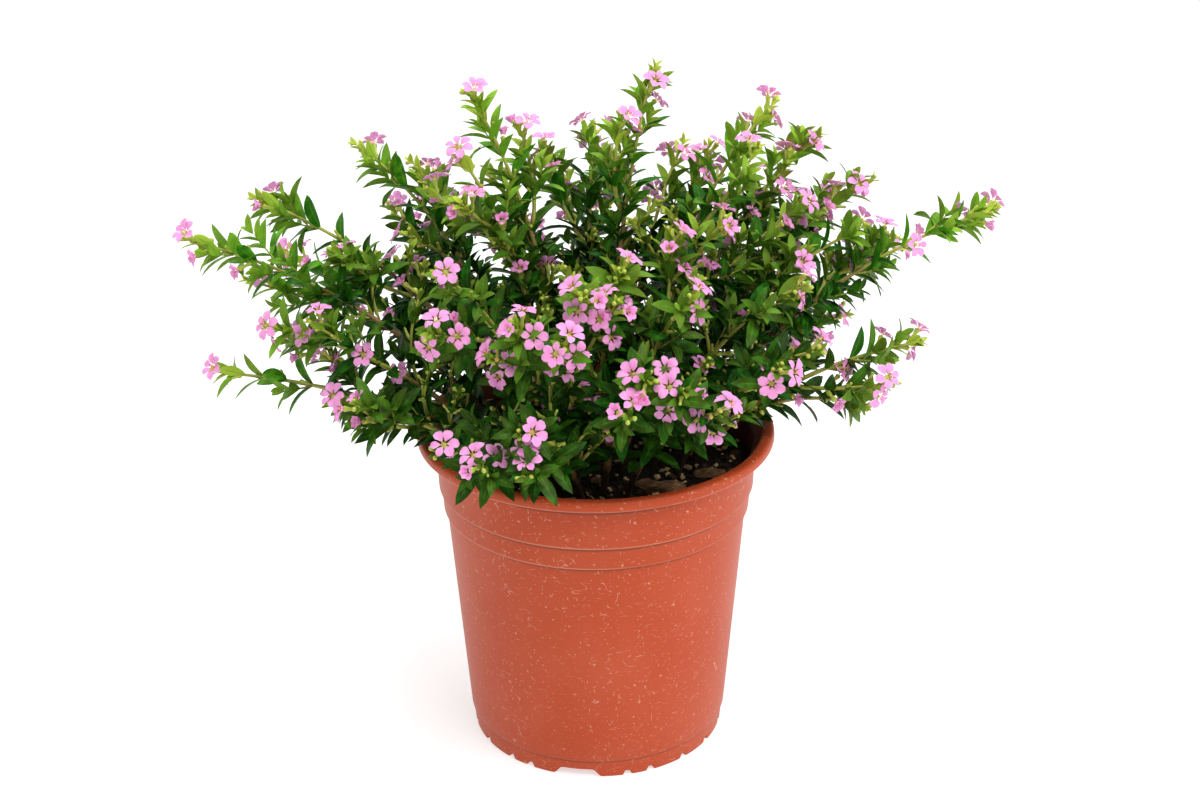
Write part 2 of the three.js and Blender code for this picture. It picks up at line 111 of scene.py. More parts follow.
# Each cane in millimetres: where it leaves the soil, then the tips of its shoots, the leading one first
CANES = (
    ((-46, -4), ((-155, -15, 171), (-124, -4, 182))),
    ((-32, -5), ((-162, -15, 228), (-141, -2, 206))),
    ((-36, -16), ((-130, -30, 197), (-110, -42, 203))),
    ((-42, -24), ((-105, -42, 168), (-92, -64, 178))),
    ((-24, 3), ((-139, 18, 234), (-104, -12, 222))),
    ((-24, 16), ((-100, 45, 249), (-76, 38, 243))),
    ((-14, -4), ((-55, -4, 261), (-68, 14, 238), (-52, -22, 245))),
    ((-8, 6), ((-50, 12, 279), (-30, 24, 262))),
    ((-18, -14), ((-60, -50, 226), (-62, -76, 211))),
    ((-16, -22), ((-38, -80, 203), (-29, -85, 219))),
    ((-4, 20), ((0, 80, 246), (-22, 70, 240))),
    ((3, 4), ((25, 25, 286), (12, 16, 268))),
    ((10, 20), ((38, 50, 247), (50, 62, 242))),
    ((14, 6), ((73, 20, 272), (66, 8, 257))),
    ((22, 16), ((95, 50, 250), (82, 40, 244))),
    ((30, 10), ((115, 30, 236), (103, 40, 230))),
    ((34, -1), ((161, 0, 233), (122, 14, 217))),
    ((24, -2), ((109, 0, 226), (86, -6, 220))),
    ((42, -8), ((131, -20, 184), (118, -34, 172))),
    ((48, 2), ((112, -8, 150),)),
    ((12, -6), ((52, -20, 236), (84, 6, 236))),
    ((24, -13), ((81, -40, 216),)),
    ((34, -20), ((85, -60, 197), (69, -76, 197))),
    ((11, -16), ((37, -60, 218), (29, -22, 232))),
    ((0, -10), ((10, -58, 229), (-4, -76, 226))),
    ((-8, -27), ((-12, -92, 212), (8, -68, 220))),
    ((3, -37), ((20, -96, 201), (33, -100, 198), (12, -106, 190))),
    ((13, -39), ((46, -96, 187), (57, -84, 184))),
    ((-6, -44), ((-28, -102, 182), (-26, -114, 170))),
    ((-22, -36), ((-60, -86, 167), (-42, -106, 172))),
    ((42, 14), ((132, 58, 200), (118, 74, 186))),
    ((32, 28), ((98, 92, 204), (84, 84, 226))),
    ((14, 38), ((46, 108, 196), (66, 104, 206))),
    ((-2, 34), ((-12, 110, 214), (8, 107, 226))),
    ((-16, 40), ((-34, 114, 190), (-54, 106, 200))),
    ((-28, 30), ((-92, 88, 206), (-74, 84, 224))),
    ((-40, 16), ((-134, 52, 198), (-118, 66, 186))),
    ((30, 42), ((72, 106, 168),)),
    ((-34, 38), ((-86, 96, 170),)),
    ((46, 24), ((112, 66, 162),)),
)

# Bark chips in millimetres: middle, half length, half width, thickness and turn in degrees
CHIPS = (
    ((26, -34), 13.5, 4, 4, -43),
    ((47, -22), 7, 3, 3, -8),
    ((1, -28), 5, 1.9, 2.2, -62),
)


# Sizes and colours

def colour(name, thing, value):
    """A property for the colour of a thing."""
    return FloatVectorProperty(name=name, description=f"Colour of {thing}", subtype="COLOR", default=value,
                               min=0, max=1)


def length(name, description, value):
    """A property for a length in metres."""
    return FloatProperty(name=name, description=description, default=value, unit="LENGTH", precision=5)


class PotSettings(bpy.types.PropertyGroup):
    """The pot's finish."""
    plastic: colour("Plastic", "the moulded plastic", (0.430, 0.055, 0.012))
    faded: colour("Faded", "the plastic where it is faded", (0.490, 0.088, 0.034))
    scuff: colour("Scuff", "the fine scuffs", (0.78, 0.42, 0.30))
    # The inside is painted dark for damp dirt and for painted shade, and the same colour draws the dark lines
    # of dirt and painted shadow under the ledges and the lip
    stain_and_shade: colour("Stain", "the damp inside", (0.10, 0.040, 0.022))
    segments: IntProperty(name="Segments", description="Faces round the pot", default=360, min=120)


class SoilSettings(bpy.types.PropertyGroup):
    """Soil, grit, rootlets and bark."""
    peat: colour("Peat", "the damp peat", (0.0075, 0.0052, 0.0042))
    crumb: colour("Crumb", "the lighter crumbs", (0.075, 0.041, 0.022))
    grit: colour("Grit", "the tan grit", (0.62, 0.43, 0.21))
    bark: colour("Bark", "the bark", (0.130, 0.050, 0.019))
    fibre: colour("Fibre", "the ridges of the bark", (0.560, 0.300, 0.120))
    rootlet: colour("Rootlet", "the bare rootlets", (0.55, 0.40, 0.20))
    crumbs: IntProperty(name="Crumbs", description="Loose crumbs on the soil", default=1000, min=0)
    stones: IntProperty(name="Grit", description="Tan grains on the soil", default=250, min=0)
    rootlets: IntProperty(name="Rootlets", description="Bare rootlets on the soil", default=9, min=0)


class LeafSettings(bpy.types.PropertyGroup):
    """Leaves and stems."""
    longest: length("Longest", "Length of a grown leaf", 17.5 * MM)
    thick: length("Thickness", "Thickness of a leaf", 0.34 * MM)
    # deep and lit are shaded and lit copies of the grown green: painted shade and painted light, picked by
    # where a leaf stands in the crown
    deep: colour("Grown, darkest", "the grown leaves in the shade", (0.003, 0.036, 0.001))
    grown: colour("Grown", "a grown leaf", (0.020, 0.145, 0.005))
    lit: colour("Grown, lighter", "the lighter grown leaves", (0.122, 0.400, 0.014))
    young: colour("Young", "the leaves at a tip", (0.480, 0.580, 0.060))
    rib: colour("Rib", "the middle rib", (0.14, 0.27, 0.040))
    green_stem: colour("Young stem", "the young stem", (0.340, 0.370, 0.050))
    tan_stem: colour("Grown stem", "the grown stem", (0.270, 0.150, 0.050))
    brown_stem: colour("Old stem", "the old stem", (0.030, 0.016, 0.009))


class BloomSettings(bpy.types.PropertyGroup):
    """Blooms, buds and calyx tubes."""
    radius: length("Radius", "From the middle of a bloom to a petal's tip", 6.0 * MM)
    tube: length("Tube", "Length of the calyx tube and its stalk", 8.6 * MM)
    petal: colour("Petal", "a petal", (0.960, 0.300, 0.670))
    vein: colour("Vein", "the veins and folds", (0.680, 0.110, 0.390))
    throat: colour("Throat", "the throat", (0.86, 0.50, 0.20))
    calyx: colour("Calyx", "the calyx tube", (0.42, 0.50, 0.065))
    blush: colour("Blush", "the sunlit side of the tubes", (0.46, 0.16, 0.07))


class StageSettings(bpy.types.PropertyGroup):
    """Camera, floor and lights."""
    distance: length("Distance", "From the pot's axis to the camera, along the floor", 0.7636)
    height: length("Height", "Height of the camera", 0.4905)
    pitch: FloatProperty(name="Pitch", description="How far the camera looks down", subtype="ANGLE",
                         default=math.radians(24.076))
    yaw: FloatProperty(name="Yaw", description="How far the camera turns towards +X", subtype="ANGLE",
                       default=math.radians(0.140))
    roll: FloatProperty(name="Roll", description="How far the camera is tipped", subtype="ANGLE",
                        default=math.radians(0.400))
    lens: FloatProperty(name="Lens", description="Focal length on a 36 mm sensor", default=60.0,
                        unit="CAMERA")
    floor: colour("Floor", "the floor", (0.58, 0.58, 0.58))
    glow: FloatProperty(name="Glow", description="How far the floor is lit from below", default=0.58)


# Meshes

def draw(key):
    """The same key always draws the same value between 0 and 1."""
    swing = math.sin(key * 12.9898 + 4.1) * 43758.5453
    return swing - math.floor(swing)


def ease(low, high, value):
    """Rises smoothly from 0 at low to 1 at high."""
    share = min(max((value - low) / (high - low), 0), 1)
    return share * share * (3 - 2 * share)


def in_reach(point):
    """Whether a point is inside the frame's box, or only just outside it."""
    low, high = CAD_BOX
    return all(low[i] - STRAY < point[i] < high[i] + STRAY for i in range(3))


def clear_of_pot(point):
    """Whether a point is outside the pot and its soil."""
    if point.z > POT_HEIGHT + OVER_LIP:
        return True
    reach = math.hypot(point.x, point.y)
    return reach > RIM_RADIUS + ROUND_LIP or (reach < INSIDE and point.z > SOIL_LEVEL * MM + OVER_SOIL)


def circle(around):
    """The cosine and sine at a share of a full turn."""
    turn = 2 * math.pi * around
    return math.cos(turn), math.sin(turn)


def on_round(spot, radius, around, height):
    """A place at a radius and a height on a body's own axis."""
    x, y = circle(around)
    return spot @ Vector((radius * x, radius * y, height))


def blank():
    """An empty mesh with a strip of its own for each body, and tone and shade marks for the materials."""
    bm = bmesh.new()
    bm.loops.layers.uv.new("strip")
    bm.verts.layers.float.new("tone")
    bm.verts.layers.float.new("shade")
    return bm


def roll_up(bm, steps, sides, point, tone, shade=0.5, finish=0):
    """A closed body from a grid: point(along, around) places each corner, both counted from 0 to 1.
    The two long edges meet, and the ends are each drawn to one point. tone is a value or tone(along)."""
    tones, shades = bm.verts.layers.float["tone"], bm.verts.layers.float["shade"]
    made = bmesh.ops.create_grid(bm, x_segments=steps, y_segments=sides, size=0.5, calc_uvs=True)["verts"]
    for vert in made:
        along, around = vert.co.x + 0.5, (vert.co.y + 0.5) % 1
        vert[tones] = tone(along) if callable(tone) else tone
        vert[shades] = shade
        vert.co = point(along, around)
    if finish:
        for face in {face for vert in made for face in vert.link_faces}:
            face.material_index = finish


def new_mesh(bm, name):
    """A mesh from a finished bmesh."""
    mesh = bpy.data.meshes.new(name)
    bm.to_mesh(mesh)
    bm.free()
    return mesh


def new_object(name, data):
    """An object in the scene's own collection."""
    made = bpy.data.objects.new(name, data)
    bpy.context.scene.collection.objects.link(made)
    return made


def to_piece(bm, name, materials, crease=65):
    """Closes the seams, turns the faces outwards and makes a smooth object that rides on the body."""
    bmesh.ops.remove_doubles(bm, verts=bm.verts, dist=SEAM)
    bmesh.ops.dissolve_degenerate(bm, edges=bm.edges, dist=SEAM)
    bmesh.ops.recalc_face_normals(bm, faces=bm.faces)
    mesh = new_mesh(bm, name)
    mesh.shade_smooth()
    mesh.set_sharp_from_angle(angle=math.radians(crease))
    for material in materials:
        mesh.materials.append(material)
    piece = new_object(name, mesh)
    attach(piece, BODY)
    return piece


def frame_at(place, x, z):
    """A frame at place with the given x and z directions, which are square to each other."""
    y = z.cross(x).normalized()
    frame_rows = Matrix((x, y, z)).transposed().to_4x4()
    frame_rows.translation = place
    return frame_rows


# Shader nodes

class Shading:
    """The nodes of a material or a group. An input is a value for its socket, or a socket to link to it."""

    def __init__(self, tree):
        self.tree = tree

    def node(self, kind, inputs=None, **settings):
        made = self.tree.nodes.new(kind)
        for name, value in settings.items():
            setattr(made, name, value)
        for name, value in (inputs or {}).items():
            if isinstance(value, bpy.types.NodeSocket):
                self.tree.links.new(value, made.inputs[name])
            else:
                made.inputs[name].default_value = value
        return made

    def maths(self, operation, first, second=0.0, clamp=False):
        """A Math node's value."""
        inputs = {0: first, 1: second}
        return self.node("ShaderNodeMath", inputs, operation=operation, use_clamp=clamp).outputs[0]

    def times(self, first, second):
        return self.maths("MULTIPLY", first, second)

    def plus(self, first, second, clamp=False):
        return self.maths("ADD", first, second, clamp)

    def minus(self, first, second):
        return self.maths("SUBTRACT", first, second)

    def most(self, first, second):
        return self.maths("MAXIMUM", first, second)

    def absolute(self, value):
        return self.maths("ABSOLUTE", value)

    def ramp(self, value, low, high, start=0.0, end=1.0):
        """Maps value from the range low to high smoothly on to the range start to end."""
        inputs = {"Value": value, "From Min": low, "From Max": high, "To Min": start, "To Max": end}
        return self.node("ShaderNodeMapRange", inputs, interpolation_type="SMOOTHSTEP").outputs[0]

    def blend(self, share, first, second):
        """Goes from the first colour to the second as share goes from 0 to 1."""
        first, second = [c if isinstance(c, bpy.types.NodeSocket) else (*c, 1) for c in (first, second)]
        return self.node("ShaderNodeMix", {0: share, 6: first, 7: second}, data_type="RGBA").outputs[2]

    def cloud(self, place, scale, detail):
        """A soft noise."""
        inputs = {"Vector": place, "Scale": scale, "Detail": detail}
        return self.node("ShaderNodeTexNoise", inputs).outputs[0]

    def mark(self, name):
        """A vertex mark's value."""
        return self.node("ShaderNodeAttribute", attribute_name=name).outputs["Fac"]

    def place(self):
        """Object coordinates, in metres."""
        return self.node("ShaderNodeTexCoord").outputs["Object"]

    def strip(self):
        """How far along a body's strip a point is, and how far round it."""
        strip = self.node("ShaderNodeUVMap", uv_map="strip").outputs[0]
        parts = self.node("ShaderNodeSeparateXYZ", {0: strip})
        return parts.outputs[0], parts.outputs[1]

    def mottle(self, scale, low, high, detail=3.0, place=None):
        """Soft patches, from the shared group."""
        place = self.place() if place is None else place
        inputs = {"Vector": place, "Scale": scale, "Detail": detail, "Low": low, "High": high}
        return self.node("ShaderNodeGroup", inputs, node_tree=mottle_group()).outputs[0]

    def scuffs(self, scale, width, broken):
        """Fine scuffs, from the shared group."""
        inputs = {"Vector": self.place(), "Scale": scale, "Width": width, "Broken": broken}
        return self.node("ShaderNodeGroup", inputs, node_tree=scuffs_group()).outputs[0]


class Finish(Shading):
    """A new material with one Principled shader, whose constants are set on its own sockets."""

    def __init__(self, name, roughness, **constants):
        self.material = bpy.data.materials.new(name)
        self.material.use_nodes = True
        super().__init__(self.material.node_tree)
        self.shader = self.tree.nodes["Principled BSDF"]
        for title, value in {"Roughness": roughness, **constants}.items():
            self.shader.inputs[title.replace("_", " ")].default_value = value

    def link(self, title, value):
        """Links a value to the shader."""
        self.tree.links.new(value, self.shader.inputs[title])

    def bump(self, height, strength, distance):
        """Raises the surface by height, distance being the rise in metres at 1."""
        inputs = {"Height": height, "Strength": strength, "Distance": distance}
        self.link("Normal", self.node("ShaderNodeBump", inputs).outputs[0])


def new_group(name, output, **inputs):
    """A group that takes a Vector and named values, and puts out one value: its nodes, inputs and output."""
    group = bpy.data.node_groups.new(name, "ShaderNodeTree")
    group.interface.new_socket(name="Vector", in_out="INPUT", socket_type="NodeSocketVector")
    for title, value in inputs.items():
        socket = group.interface.new_socket(name=title, in_out="INPUT", socket_type="NodeSocketFloat")
        socket.default_value = value
    group.interface.new_socket(name=output, in_out="OUTPUT", socket_type="NodeSocketFloat")
    given = group.nodes.new("NodeGroupInput").outputs
    return Shading(group), given, group.nodes.new("NodeGroupOutput").inputs[output]


@cache
def mottle_group():
    """Soft patches: a value that drifts over the surface from 0 to 1."""
    patches, given, out = new_group("mottle", "Patches", Scale=50.0, Detail=3.0, Low=0.35, High=0.65)
    cloud = patches.cloud(given["Vector"], given["Scale"], given["Detail"])
    patches.tree.links.new(patches.ramp(cloud, given["Low"], given["High"]), out)
    return patches.tree


@cache
def scuffs_group():
    """Fine curved scuffs: the contour lines of a soft noise, broken up into short strokes."""
    scuffs, given, out = new_group("scuffs", "Lines", Scale=120.0, Width=0.01, Broken=0.58)
    flat = scuffs.node("ShaderNodeVectorMath", {0: given["Vector"], 1: (1.0, 1.0, 1.7)}, operation="MULTIPLY")
    away = scuffs.absolute(scuffs.minus(scuffs.cloud(flat.outputs[0], given["Scale"], 0.0), 0.5))
    line = scuffs.ramp(away, 0.0, given["Width"], 1.0, 0.0)
    gaps = scuffs.cloud(given["Vector"], scuffs.times(given["Scale"], 1.9), 1.0)
    kept = scuffs.ramp(gaps, given["Broken"], scuffs.plus(given["Broken"], 0.05))
    scuffs.tree.links.new(scuffs.times(line, kept), out)
    return scuffs.tree


# Stems

class Arc:
    """A quadratic curve that can be walked by length."""
    COUNT = 60

    def __init__(self, start, bend, end):
        self.start, self.bend, self.end = start, bend, end
        self.marks = [0.0]
        last = start
        for i in range(1, self.COUNT + 1):
            here = self.point(i / self.COUNT)
            self.marks.append(self.marks[-1] + (here - last).length)
            last = here
        self.length = self.marks[-1]

    def point(self, t):
        return self.start * (1 - t) ** 2 + self.bend * 2 * t * (1 - t) + self.end * t * t

    def tangent(self, t):
        return ((self.bend - self.start) * (1 - t) + (self.end - self.bend) * t).normalized()

    def share_at(self, walked):
        """The curve's own parameter at a length from its start."""
        walked = min(max(walked, 0), self.length)
        i = next(i for i in range(1, self.COUNT + 1) if self.marks[i] >= walked - 1e-9)
        low, high = self.marks[i - 1], self.marks[i]
        return (i - 1 + (walked - low) / max(high - low, 1e-12)) / self.COUNT


class Shoot:
    """A cane or side shoot, with four sides for leaves, blooms and side shoots to stand on."""

    def __init__(self, key, arc, across, turn, thick, foot=None):
        self.key, self.arc, self.across, self.turn = key, arc, across, turn
        self.thick, self.foot = thick, foot

    def sides(self, along):
        first = (self.across - along * self.across.dot(along)).normalized()
        first = Matrix.Rotation(self.turn, 3, along) @ first
        second = along.cross(first)
        return [first, second, -first, -second]

    def stand(self, back):
        """The place at a length back from the tip, with the direction and the sides there."""
        share = self.arc.share_at(self.arc.length - back)
        along = self.arc.tangent(share)
        return self.arc.point(share), along, self.sides(along)

    def radius(self, back):
        """Stems thicken down from their tip."""
        low, high = self.thick
        return low + (high - low) * ease(0, max(self.arc.length, 1e-6), back)


def cane(key, foot, tip):
    """A cane rises from its foot in the soil, and arches out to its leading tip."""
    x, y = foot
    end = Vector(tip)
    rise = max(0.75 * (end.z - SOIL_LEVEL), LEAST_RISE)
    knee = Vector((x + 0.35 * (end.x - x), y + 0.35 * (end.y - y), SOIL_LEVEL + rise))
    collar = Vector((x, y, SOIL_LEVEL + COLLAR_HEIGHT))
    root = Vector((x, y, SOIL_LEVEL - ROOT_DEPTH))
    across = Vector((end.y - y, x - end.x, 0))
    arc = Arc(collar * MM, knee * MM, end * MM)
    return Shoot(key, arc, across, draw(key) * math.pi / 2, (0.62 * MM, 1.45 * MM), root * MM)


def fork(key, parent, tip, order):
    """A side shoot leaves out of the side nearest to its own tip, and bends round to that tip."""
    end = Vector(tip) * MM
    share = 0.5 + 0.12 * (order - 1)
    start, tangent = parent.arc.point(share), parent.arc.tangent(share)
    chord = end - start
    side, across = sorted(parent.sides(tangent), key=lambda way: -way.dot(chord))[:2]
    leaving = tangent * math.cos(FORK_ANGLE) + side * math.sin(FORK_ANGLE)
    bend = start + leaving * 0.4 * chord.length
    return Shoot(key, Arc(start, bend, end), across, 0.0, (0.55 * MM, 0.95 * MM))


def fill(parent, order):
    """A shorter shoot inside the crown, which the frame leaves out."""
    key = parent.key + 500 + 37 * order
    share = 0.15 + 0.13 * order + 0.12 * draw(key)
    start, tangent = parent.arc.point(share), parent.arc.tangent(share)
    side = parent.sides(tangent)[math.floor(4 * draw(key + 1))]
    if side.z < -0.3:
        side = -side
    reach = (18 + 20 * draw(key + 2)) * MM
    end = start + (tangent * 0.55 + side * 0.8 + UP * 0.45).normalized() * reach
    bend = start + (tangent + side * 0.5) * 0.4 * reach
    return Shoot(key, Arc(start, bend, end), tangent.cross(side), 0.0, (0.5 * MM, 0.8 * MM))


def shoots_of(index):
    """The cane and its side shoots as the frame has them, and the shoots that fill the crown."""
    foot, tips = CANES[index]
    lead = cane(index * 100, foot, tips[0])
    forks = [fork(index * 100 + 10 * (i + 1), lead, tip, i + 1) for i, tip in enumerate(tips[1:])]
    fills = [fill(lead, order) for order in range(FILLS)]
    return [lead] + forks, fills


def stem_tone(back):
    """Green at the tip, tan from about 0.5 and dark brown near 1, at the foot."""
    return 0.5 * ease(30 * MM, 95 * MM, back) + 0.5 * ease(100 * MM, 150 * MM, back)


def add_stem(bm, shoot, sides=8):
    """A gently rippled stem from the tip down to the root, if it has one."""
    arc = shoot.arc
    buried = (arc.start - shoot.foot).length if shoot.foot else 0
    whole = arc.length + buried

    def point(along, around):
        walked = along * whole - buried
        share = arc.share_at(walked)
        middle = arc.start.lerp(shoot.foot, -walked / buried) if walked < 0 else arc.point(share)
        first, second = shoot.sides(arc.tangent(share))[:2]
        ripple = 1 + 0.09 * math.sin(walked / RIPPLE)
        radius = shoot.radius(arc.length - walked) * (0 < along < 1) * ripple
        x, y = circle(around)
        return middle + (first * x + second * y) * radius

    def tone(along):
        back = (1 - along) * whole
        height = arc.point(arc.share_at(arc.length - back)).z
        return max(stem_tone(back), 1 - ease(130 * MM, 160 * MM, height))

    steps = max(6, round(whole / STEM_STEP))
    roll_up(bm, steps, sides, point, tone, draw(shoot.key + 3), finish=1)


# Leaves

# Where painted light brightens the crown's leaves, in millimetres: the heights, and the distances out at the
# sides
PAINTED_LIGHT_HEIGHT = (175, 258)
PAINTED_LIGHT_OUT = (65, 140)

# The crown's middle height and its half sizes in millimetres
CROWN_MIDDLE = 130
CROWN_HALF = (160, 112, 150)


def leaf_node(step):
    """How far back from the tip a pair of leaves stands. The gaps widen over the first seven pairs."""
    if step < 7:
        return (2 + 4 * step + 0.75 * step * step) * MM
    return (62.75 + 9.5 * (step - 7)) * MM


def blade_frame(place, along, outward, spread, lift):
    """A leaf's frame. It leaves the stem at an angle in degrees, and lift turns its face up."""
    turn = math.radians(spread)
    x = along * math.cos(turn) + outward * math.sin(turn)
    z = along * math.sin(turn) - outward * math.cos(turn) + UP * lift
    return frame_at(place, x, (z - x * z.dot(x)).normalized())


def leaf_frame(shoot, step, side):
    """The frame of one leaf of a pair. Leaves spread more, the further down they stand."""
    place, along, sides = shoot.stand(leaf_node(step))
    lean = 14 * (draw(shoot.key + 7 * step + side) - 0.5)
    return blade_frame(place, along, sides[step % 2 + 2 * side], min(18 + 7 * step, 56) + lean, 0.6)


def sun(place):
    """How far a place stands in the light: 1 high up, and nearly so far out at the sides."""
    x, _, z = place / MM
    return max(ease(*PAINTED_LIGHT_HEIGHT, z), 0.85 * ease(*PAINTED_LIGHT_OUT, abs(x)))


def light_on(place):
    """How far the grown leaves are painted light rather than in painted shade, which is least near the
    crown's heart.
    """
    x, y, z = place / MM
    wide, deep, tall = CROWN_HALF
    out = math.hypot(x / wide, y / deep, (z - CROWN_MIDDLE) / tall)
    return (0.04 + 0.72 * sun(place)) * (0.3 + 0.7 * ease(0.5, 0.95, out))


def youth(shoot):
    """How far back from its tip a shoot's leaves are young: further where it grows in the light, so that the
    pale young green also serves as painted light high up and out at the sides.
    """
    return (8 + 8 * draw(shoot.key + 8) + 20 * sun(shoot.arc.end)) * MM


def add_leaf(bm, spot, long, thick, tone, key, steps=7, sides=8):
    """A lance-shaped leaf, folded a little along its rib, arched, and bent over towards its tip."""
    wide = 0.29 * long + 0.7 * MM
    droop = 0.02 + 0.20 * draw(key + 0.3)
    sway = 0.10 * (draw(key + 0.6) - 0.5)
    fold = 0.20 + 0.25 * draw(key + 0.9)

    def point(along, around):
        across, upper = circle(around)
        half = wide / 2 * (0.10 + 0.90 * math.sin(math.pi * along ** 1.02) ** 0.85) * (0 < along < 1)
        rise = long * (0.20 * along * (1 - along) - droop * along * along)
        height = rise + fold * half * abs(across) ** 1.4 + 0.5 * thick * upper * (0 < along < 1)
        wave = 0.035 * half * math.sin(9 * along + 6 * draw(key)) * across
        return spot @ Vector((long * along, half * across + long * sway * along * along, height + wave))

    # Painted light and shade: the young yellow-green fades where sun() is low, and light_on() gives the shade
    # mark that turns the grown green towards its shaded or lit copy
    tone *= 0.15 + 0.85 * sun(spot.translation)
    shade = light_on(spot.translation) * (0.7 + 0.6 * draw(key + 1.7))
    roll_up(bm, steps, sides, point, tone, shade)


def leaf_fits(spot, long):
    """Whether a leaf keeps clear of the pot and the soil, and within reach."""
    points = [spot @ Vector((long * s, 0, -0.1 * long * s * s)) for s in (0.25, 0.5, 0.75, 1)]
    return all(clear_of_pot(point) for point in points) and in_reach(points[-1])


def add_leaves(bm, shoot, key, settings):
    """Opposite pairs, each square to the next, down to the old wood."""
    step = 0
    while leaf_node(step) < 0.93 * shoot.arc.length - 4 * MM:
        back = leaf_node(step)
        grown = min(settings.longest, (5.5 + 3 * step) * MM)
        for side in range(2):
            long = grown * (0.85 + 0.3 * draw(shoot.key + 3 * step + side))
            tone = 1 - ease(3 * MM, youth(shoot), back) * (0.8 + 0.35 * draw(key + step + side))
            spot = leaf_frame(shoot, step, side)
            if leaf_fits(spot, long):
                add_leaf(bm, spot, long, settings.thick, max(tone, 0), key + 11 * step + 5 * side)
        step += 1


def add_tuft(bm, shoot, step, side, key, settings):
    """A short side shoot in the joint of a leaf, with two to four pairs of small leaves."""
    back = leaf_node(step)
    place, along, sides = shoot.stand(back)
    lean = 0.55 + 0.3 * draw(key)
    outward = sides[step % 2 + 2 * side]
    way = (along * math.cos(lean) + outward * math.sin(lean) + UP * 0.12).normalized()
    reach = min((7 + 12 * draw(key + 1)) * MM, 0.5 * back)
    bend = place + way * reach * 0.5 + along * reach * 0.06
    tip = place + way * reach * 0.86 + along * reach * 0.2
    if not clear_of_pot(tip) or not in_reach(tip):
        return
    twig = Shoot(key, Arc(place, bend, tip), sides[(step + 1) % 2], 0.6 * draw(key + 2), TWIG)
    add_stem(bm, twig, 5)
    pairs = 2 + round(reach / (8 * MM))
    for pair in range(pairs):
        spot, toward, ways = twig.stand(reach * (0.02 + 0.8 * pair / pairs))
        for half in range(2):
            spread = 22 + 13 * pair + 12 * draw(key + pair + half)
            leaf = blade_frame(spot, toward, ways[pair % 2 + 2 * half], spread, 0.4)
            long = (6 + 2.6 * pair + 4 * draw(key + 4 * pair + half)) * MM
            young = 0.5 - 0.35 * ease(20 * MM, 90 * MM, back) - 0.1 * pair
            if leaf_fits(leaf, long):
                add_leaf(bm, leaf, long, settings.thick, max(young, 0), key + 9 * pair + half, 6, 6)


def add_tufts(bm, shoot, key, settings):
    """Tufts at some of the joints, from the third pair of leaves down."""
    step = 2
    while leaf_node(step) < 0.75 * shoot.arc.length:
        for side in range(2):
            own = key + 17 * step + 3 * side
            if draw(own) < (0.35 if step < 4 else 0.52):
                add_tuft(bm, shoot, step, side, own, settings)
        step += 1


# Blooms

# The mouth's radius, half the width of the two shorter petals and of the others, and a petal's thickness
MOUTH_RADIUS = 1.05 * MM
UPPER_HALF = 1.45 * MM
LOWER_HALF = 1.9 * MM
PETAL_THICK = 0.16 * MM

# Draws at a free joint from the lowest up: an open bloom, a half-open one, a spent tube, a bud, nothing
OPEN = 0.08
HALF_OPEN = 0.20
YOUNG_BUDS = 0.36
BUDS = 0.56
BEARING = 0.66


def bloom_step(shoot, order):
    """The joint at which an open bloom stands."""
    return 1 + order + math.floor(1.5 * draw(shoot.key + 31 * order))


def bloom_count(shoot):
    """One open bloom on a short shoot, and one to three on a longer one."""
    return 1 if shoot.arc.length < 40 * MM else 1 + math.floor(2.2 * draw(shoot.key + 5))


def bloom_frame(shoot, step, order):
    """At a joint, on one of the two sides that bear no leaf there: the side that looks out and up, or
    for every other one its opposite."""
    place, along, sides = shoot.stand(leaf_node(step) - 1 * MM)
    outlook = (place - HEART).normalized() + UP * 0.5
    free = sorted((sides[(step + 1) % 2], sides[(step + 1) % 2 + 2]), key=lambda way: -way.dot(outlook))
    z = (along * 0.6 + free[order % 2] * 0.8 + outlook * 0.3).normalized()
    x = (along - z * along.dot(z)).normalized()
    return frame_at(place, x, z)


def add_calyx(bm, spot, tube, key, open_mouth):
    """A ribbed tube, a little swollen at its foot and flared at its mouth."""
    mouth = 1.25 if open_mouth else 0.55

    def point(along, around):
        rib = 1 + 0.09 * (-1) ** round(around * 12)
        swell = 0.5 + 0.45 * math.exp(-((along - 0.36) / 0.12) ** 2) + (mouth - 0.5) * ease(0.5, 1, along)
        swell -= 0.25 * (1 - ease(0.15, 0.3, along))
        teeth = 0.25 * MM * (0.8 < along < 1) * (round(around * 12) % 2)
        return on_round(spot, swell * MM * rib * (0 < along < 1), around, tube * along - 0.3 * MM + teeth)

    roll_up(bm, 9, 12, point, 0.2 + 0.6 * draw(key), draw(key + 1), finish=1)


def add_petal(bm, spot, angle, size, lift, key, steps=7, sides=8):
    """A crinkled petal on a narrow claw, spread from the mouth of the tube. lift is how far it is closed."""
    reach, half_width = size
    turned = spot @ Matrix.Rotation(angle, 4, "Z")
    twist = 0.35 * (draw(key + 0.4) - 0.5)

    def point(along, around):
        across, upper = circle(around)
        claw = 0.26 + 0.74 * ease(0.06, 0.5, along)
        end = math.sqrt(max(1 - (max(along - 0.62, 0) / 0.38) ** 2, 0))
        half = half_width * claw * end * (0 < along < 1)
        curl = 0.10 * reach * math.sin(math.pi * along) - 0.10 * reach * along ** 3
        crinkle = 0.24 * MM * math.sin(11 * along + 5 * draw(key))
        crinkle *= math.sin(2.6 * across + 4 * draw(key + 1)) * ease(0.3, 0.8, along)
        cup = 0.22 * half * across * across + twist * half * across * along
        high = curl + crinkle + cup + PETAL_THICK * upper * (0 < along < 1)
        x = MOUTH_RADIUS + reach * along * math.cos(lift) - high * math.sin(lift)
        return turned @ Vector((x, half * across, reach * along * math.sin(lift) + high * math.cos(lift)))

    roll_up(bm, steps, sides, point, lambda along: along, draw(key + 2))


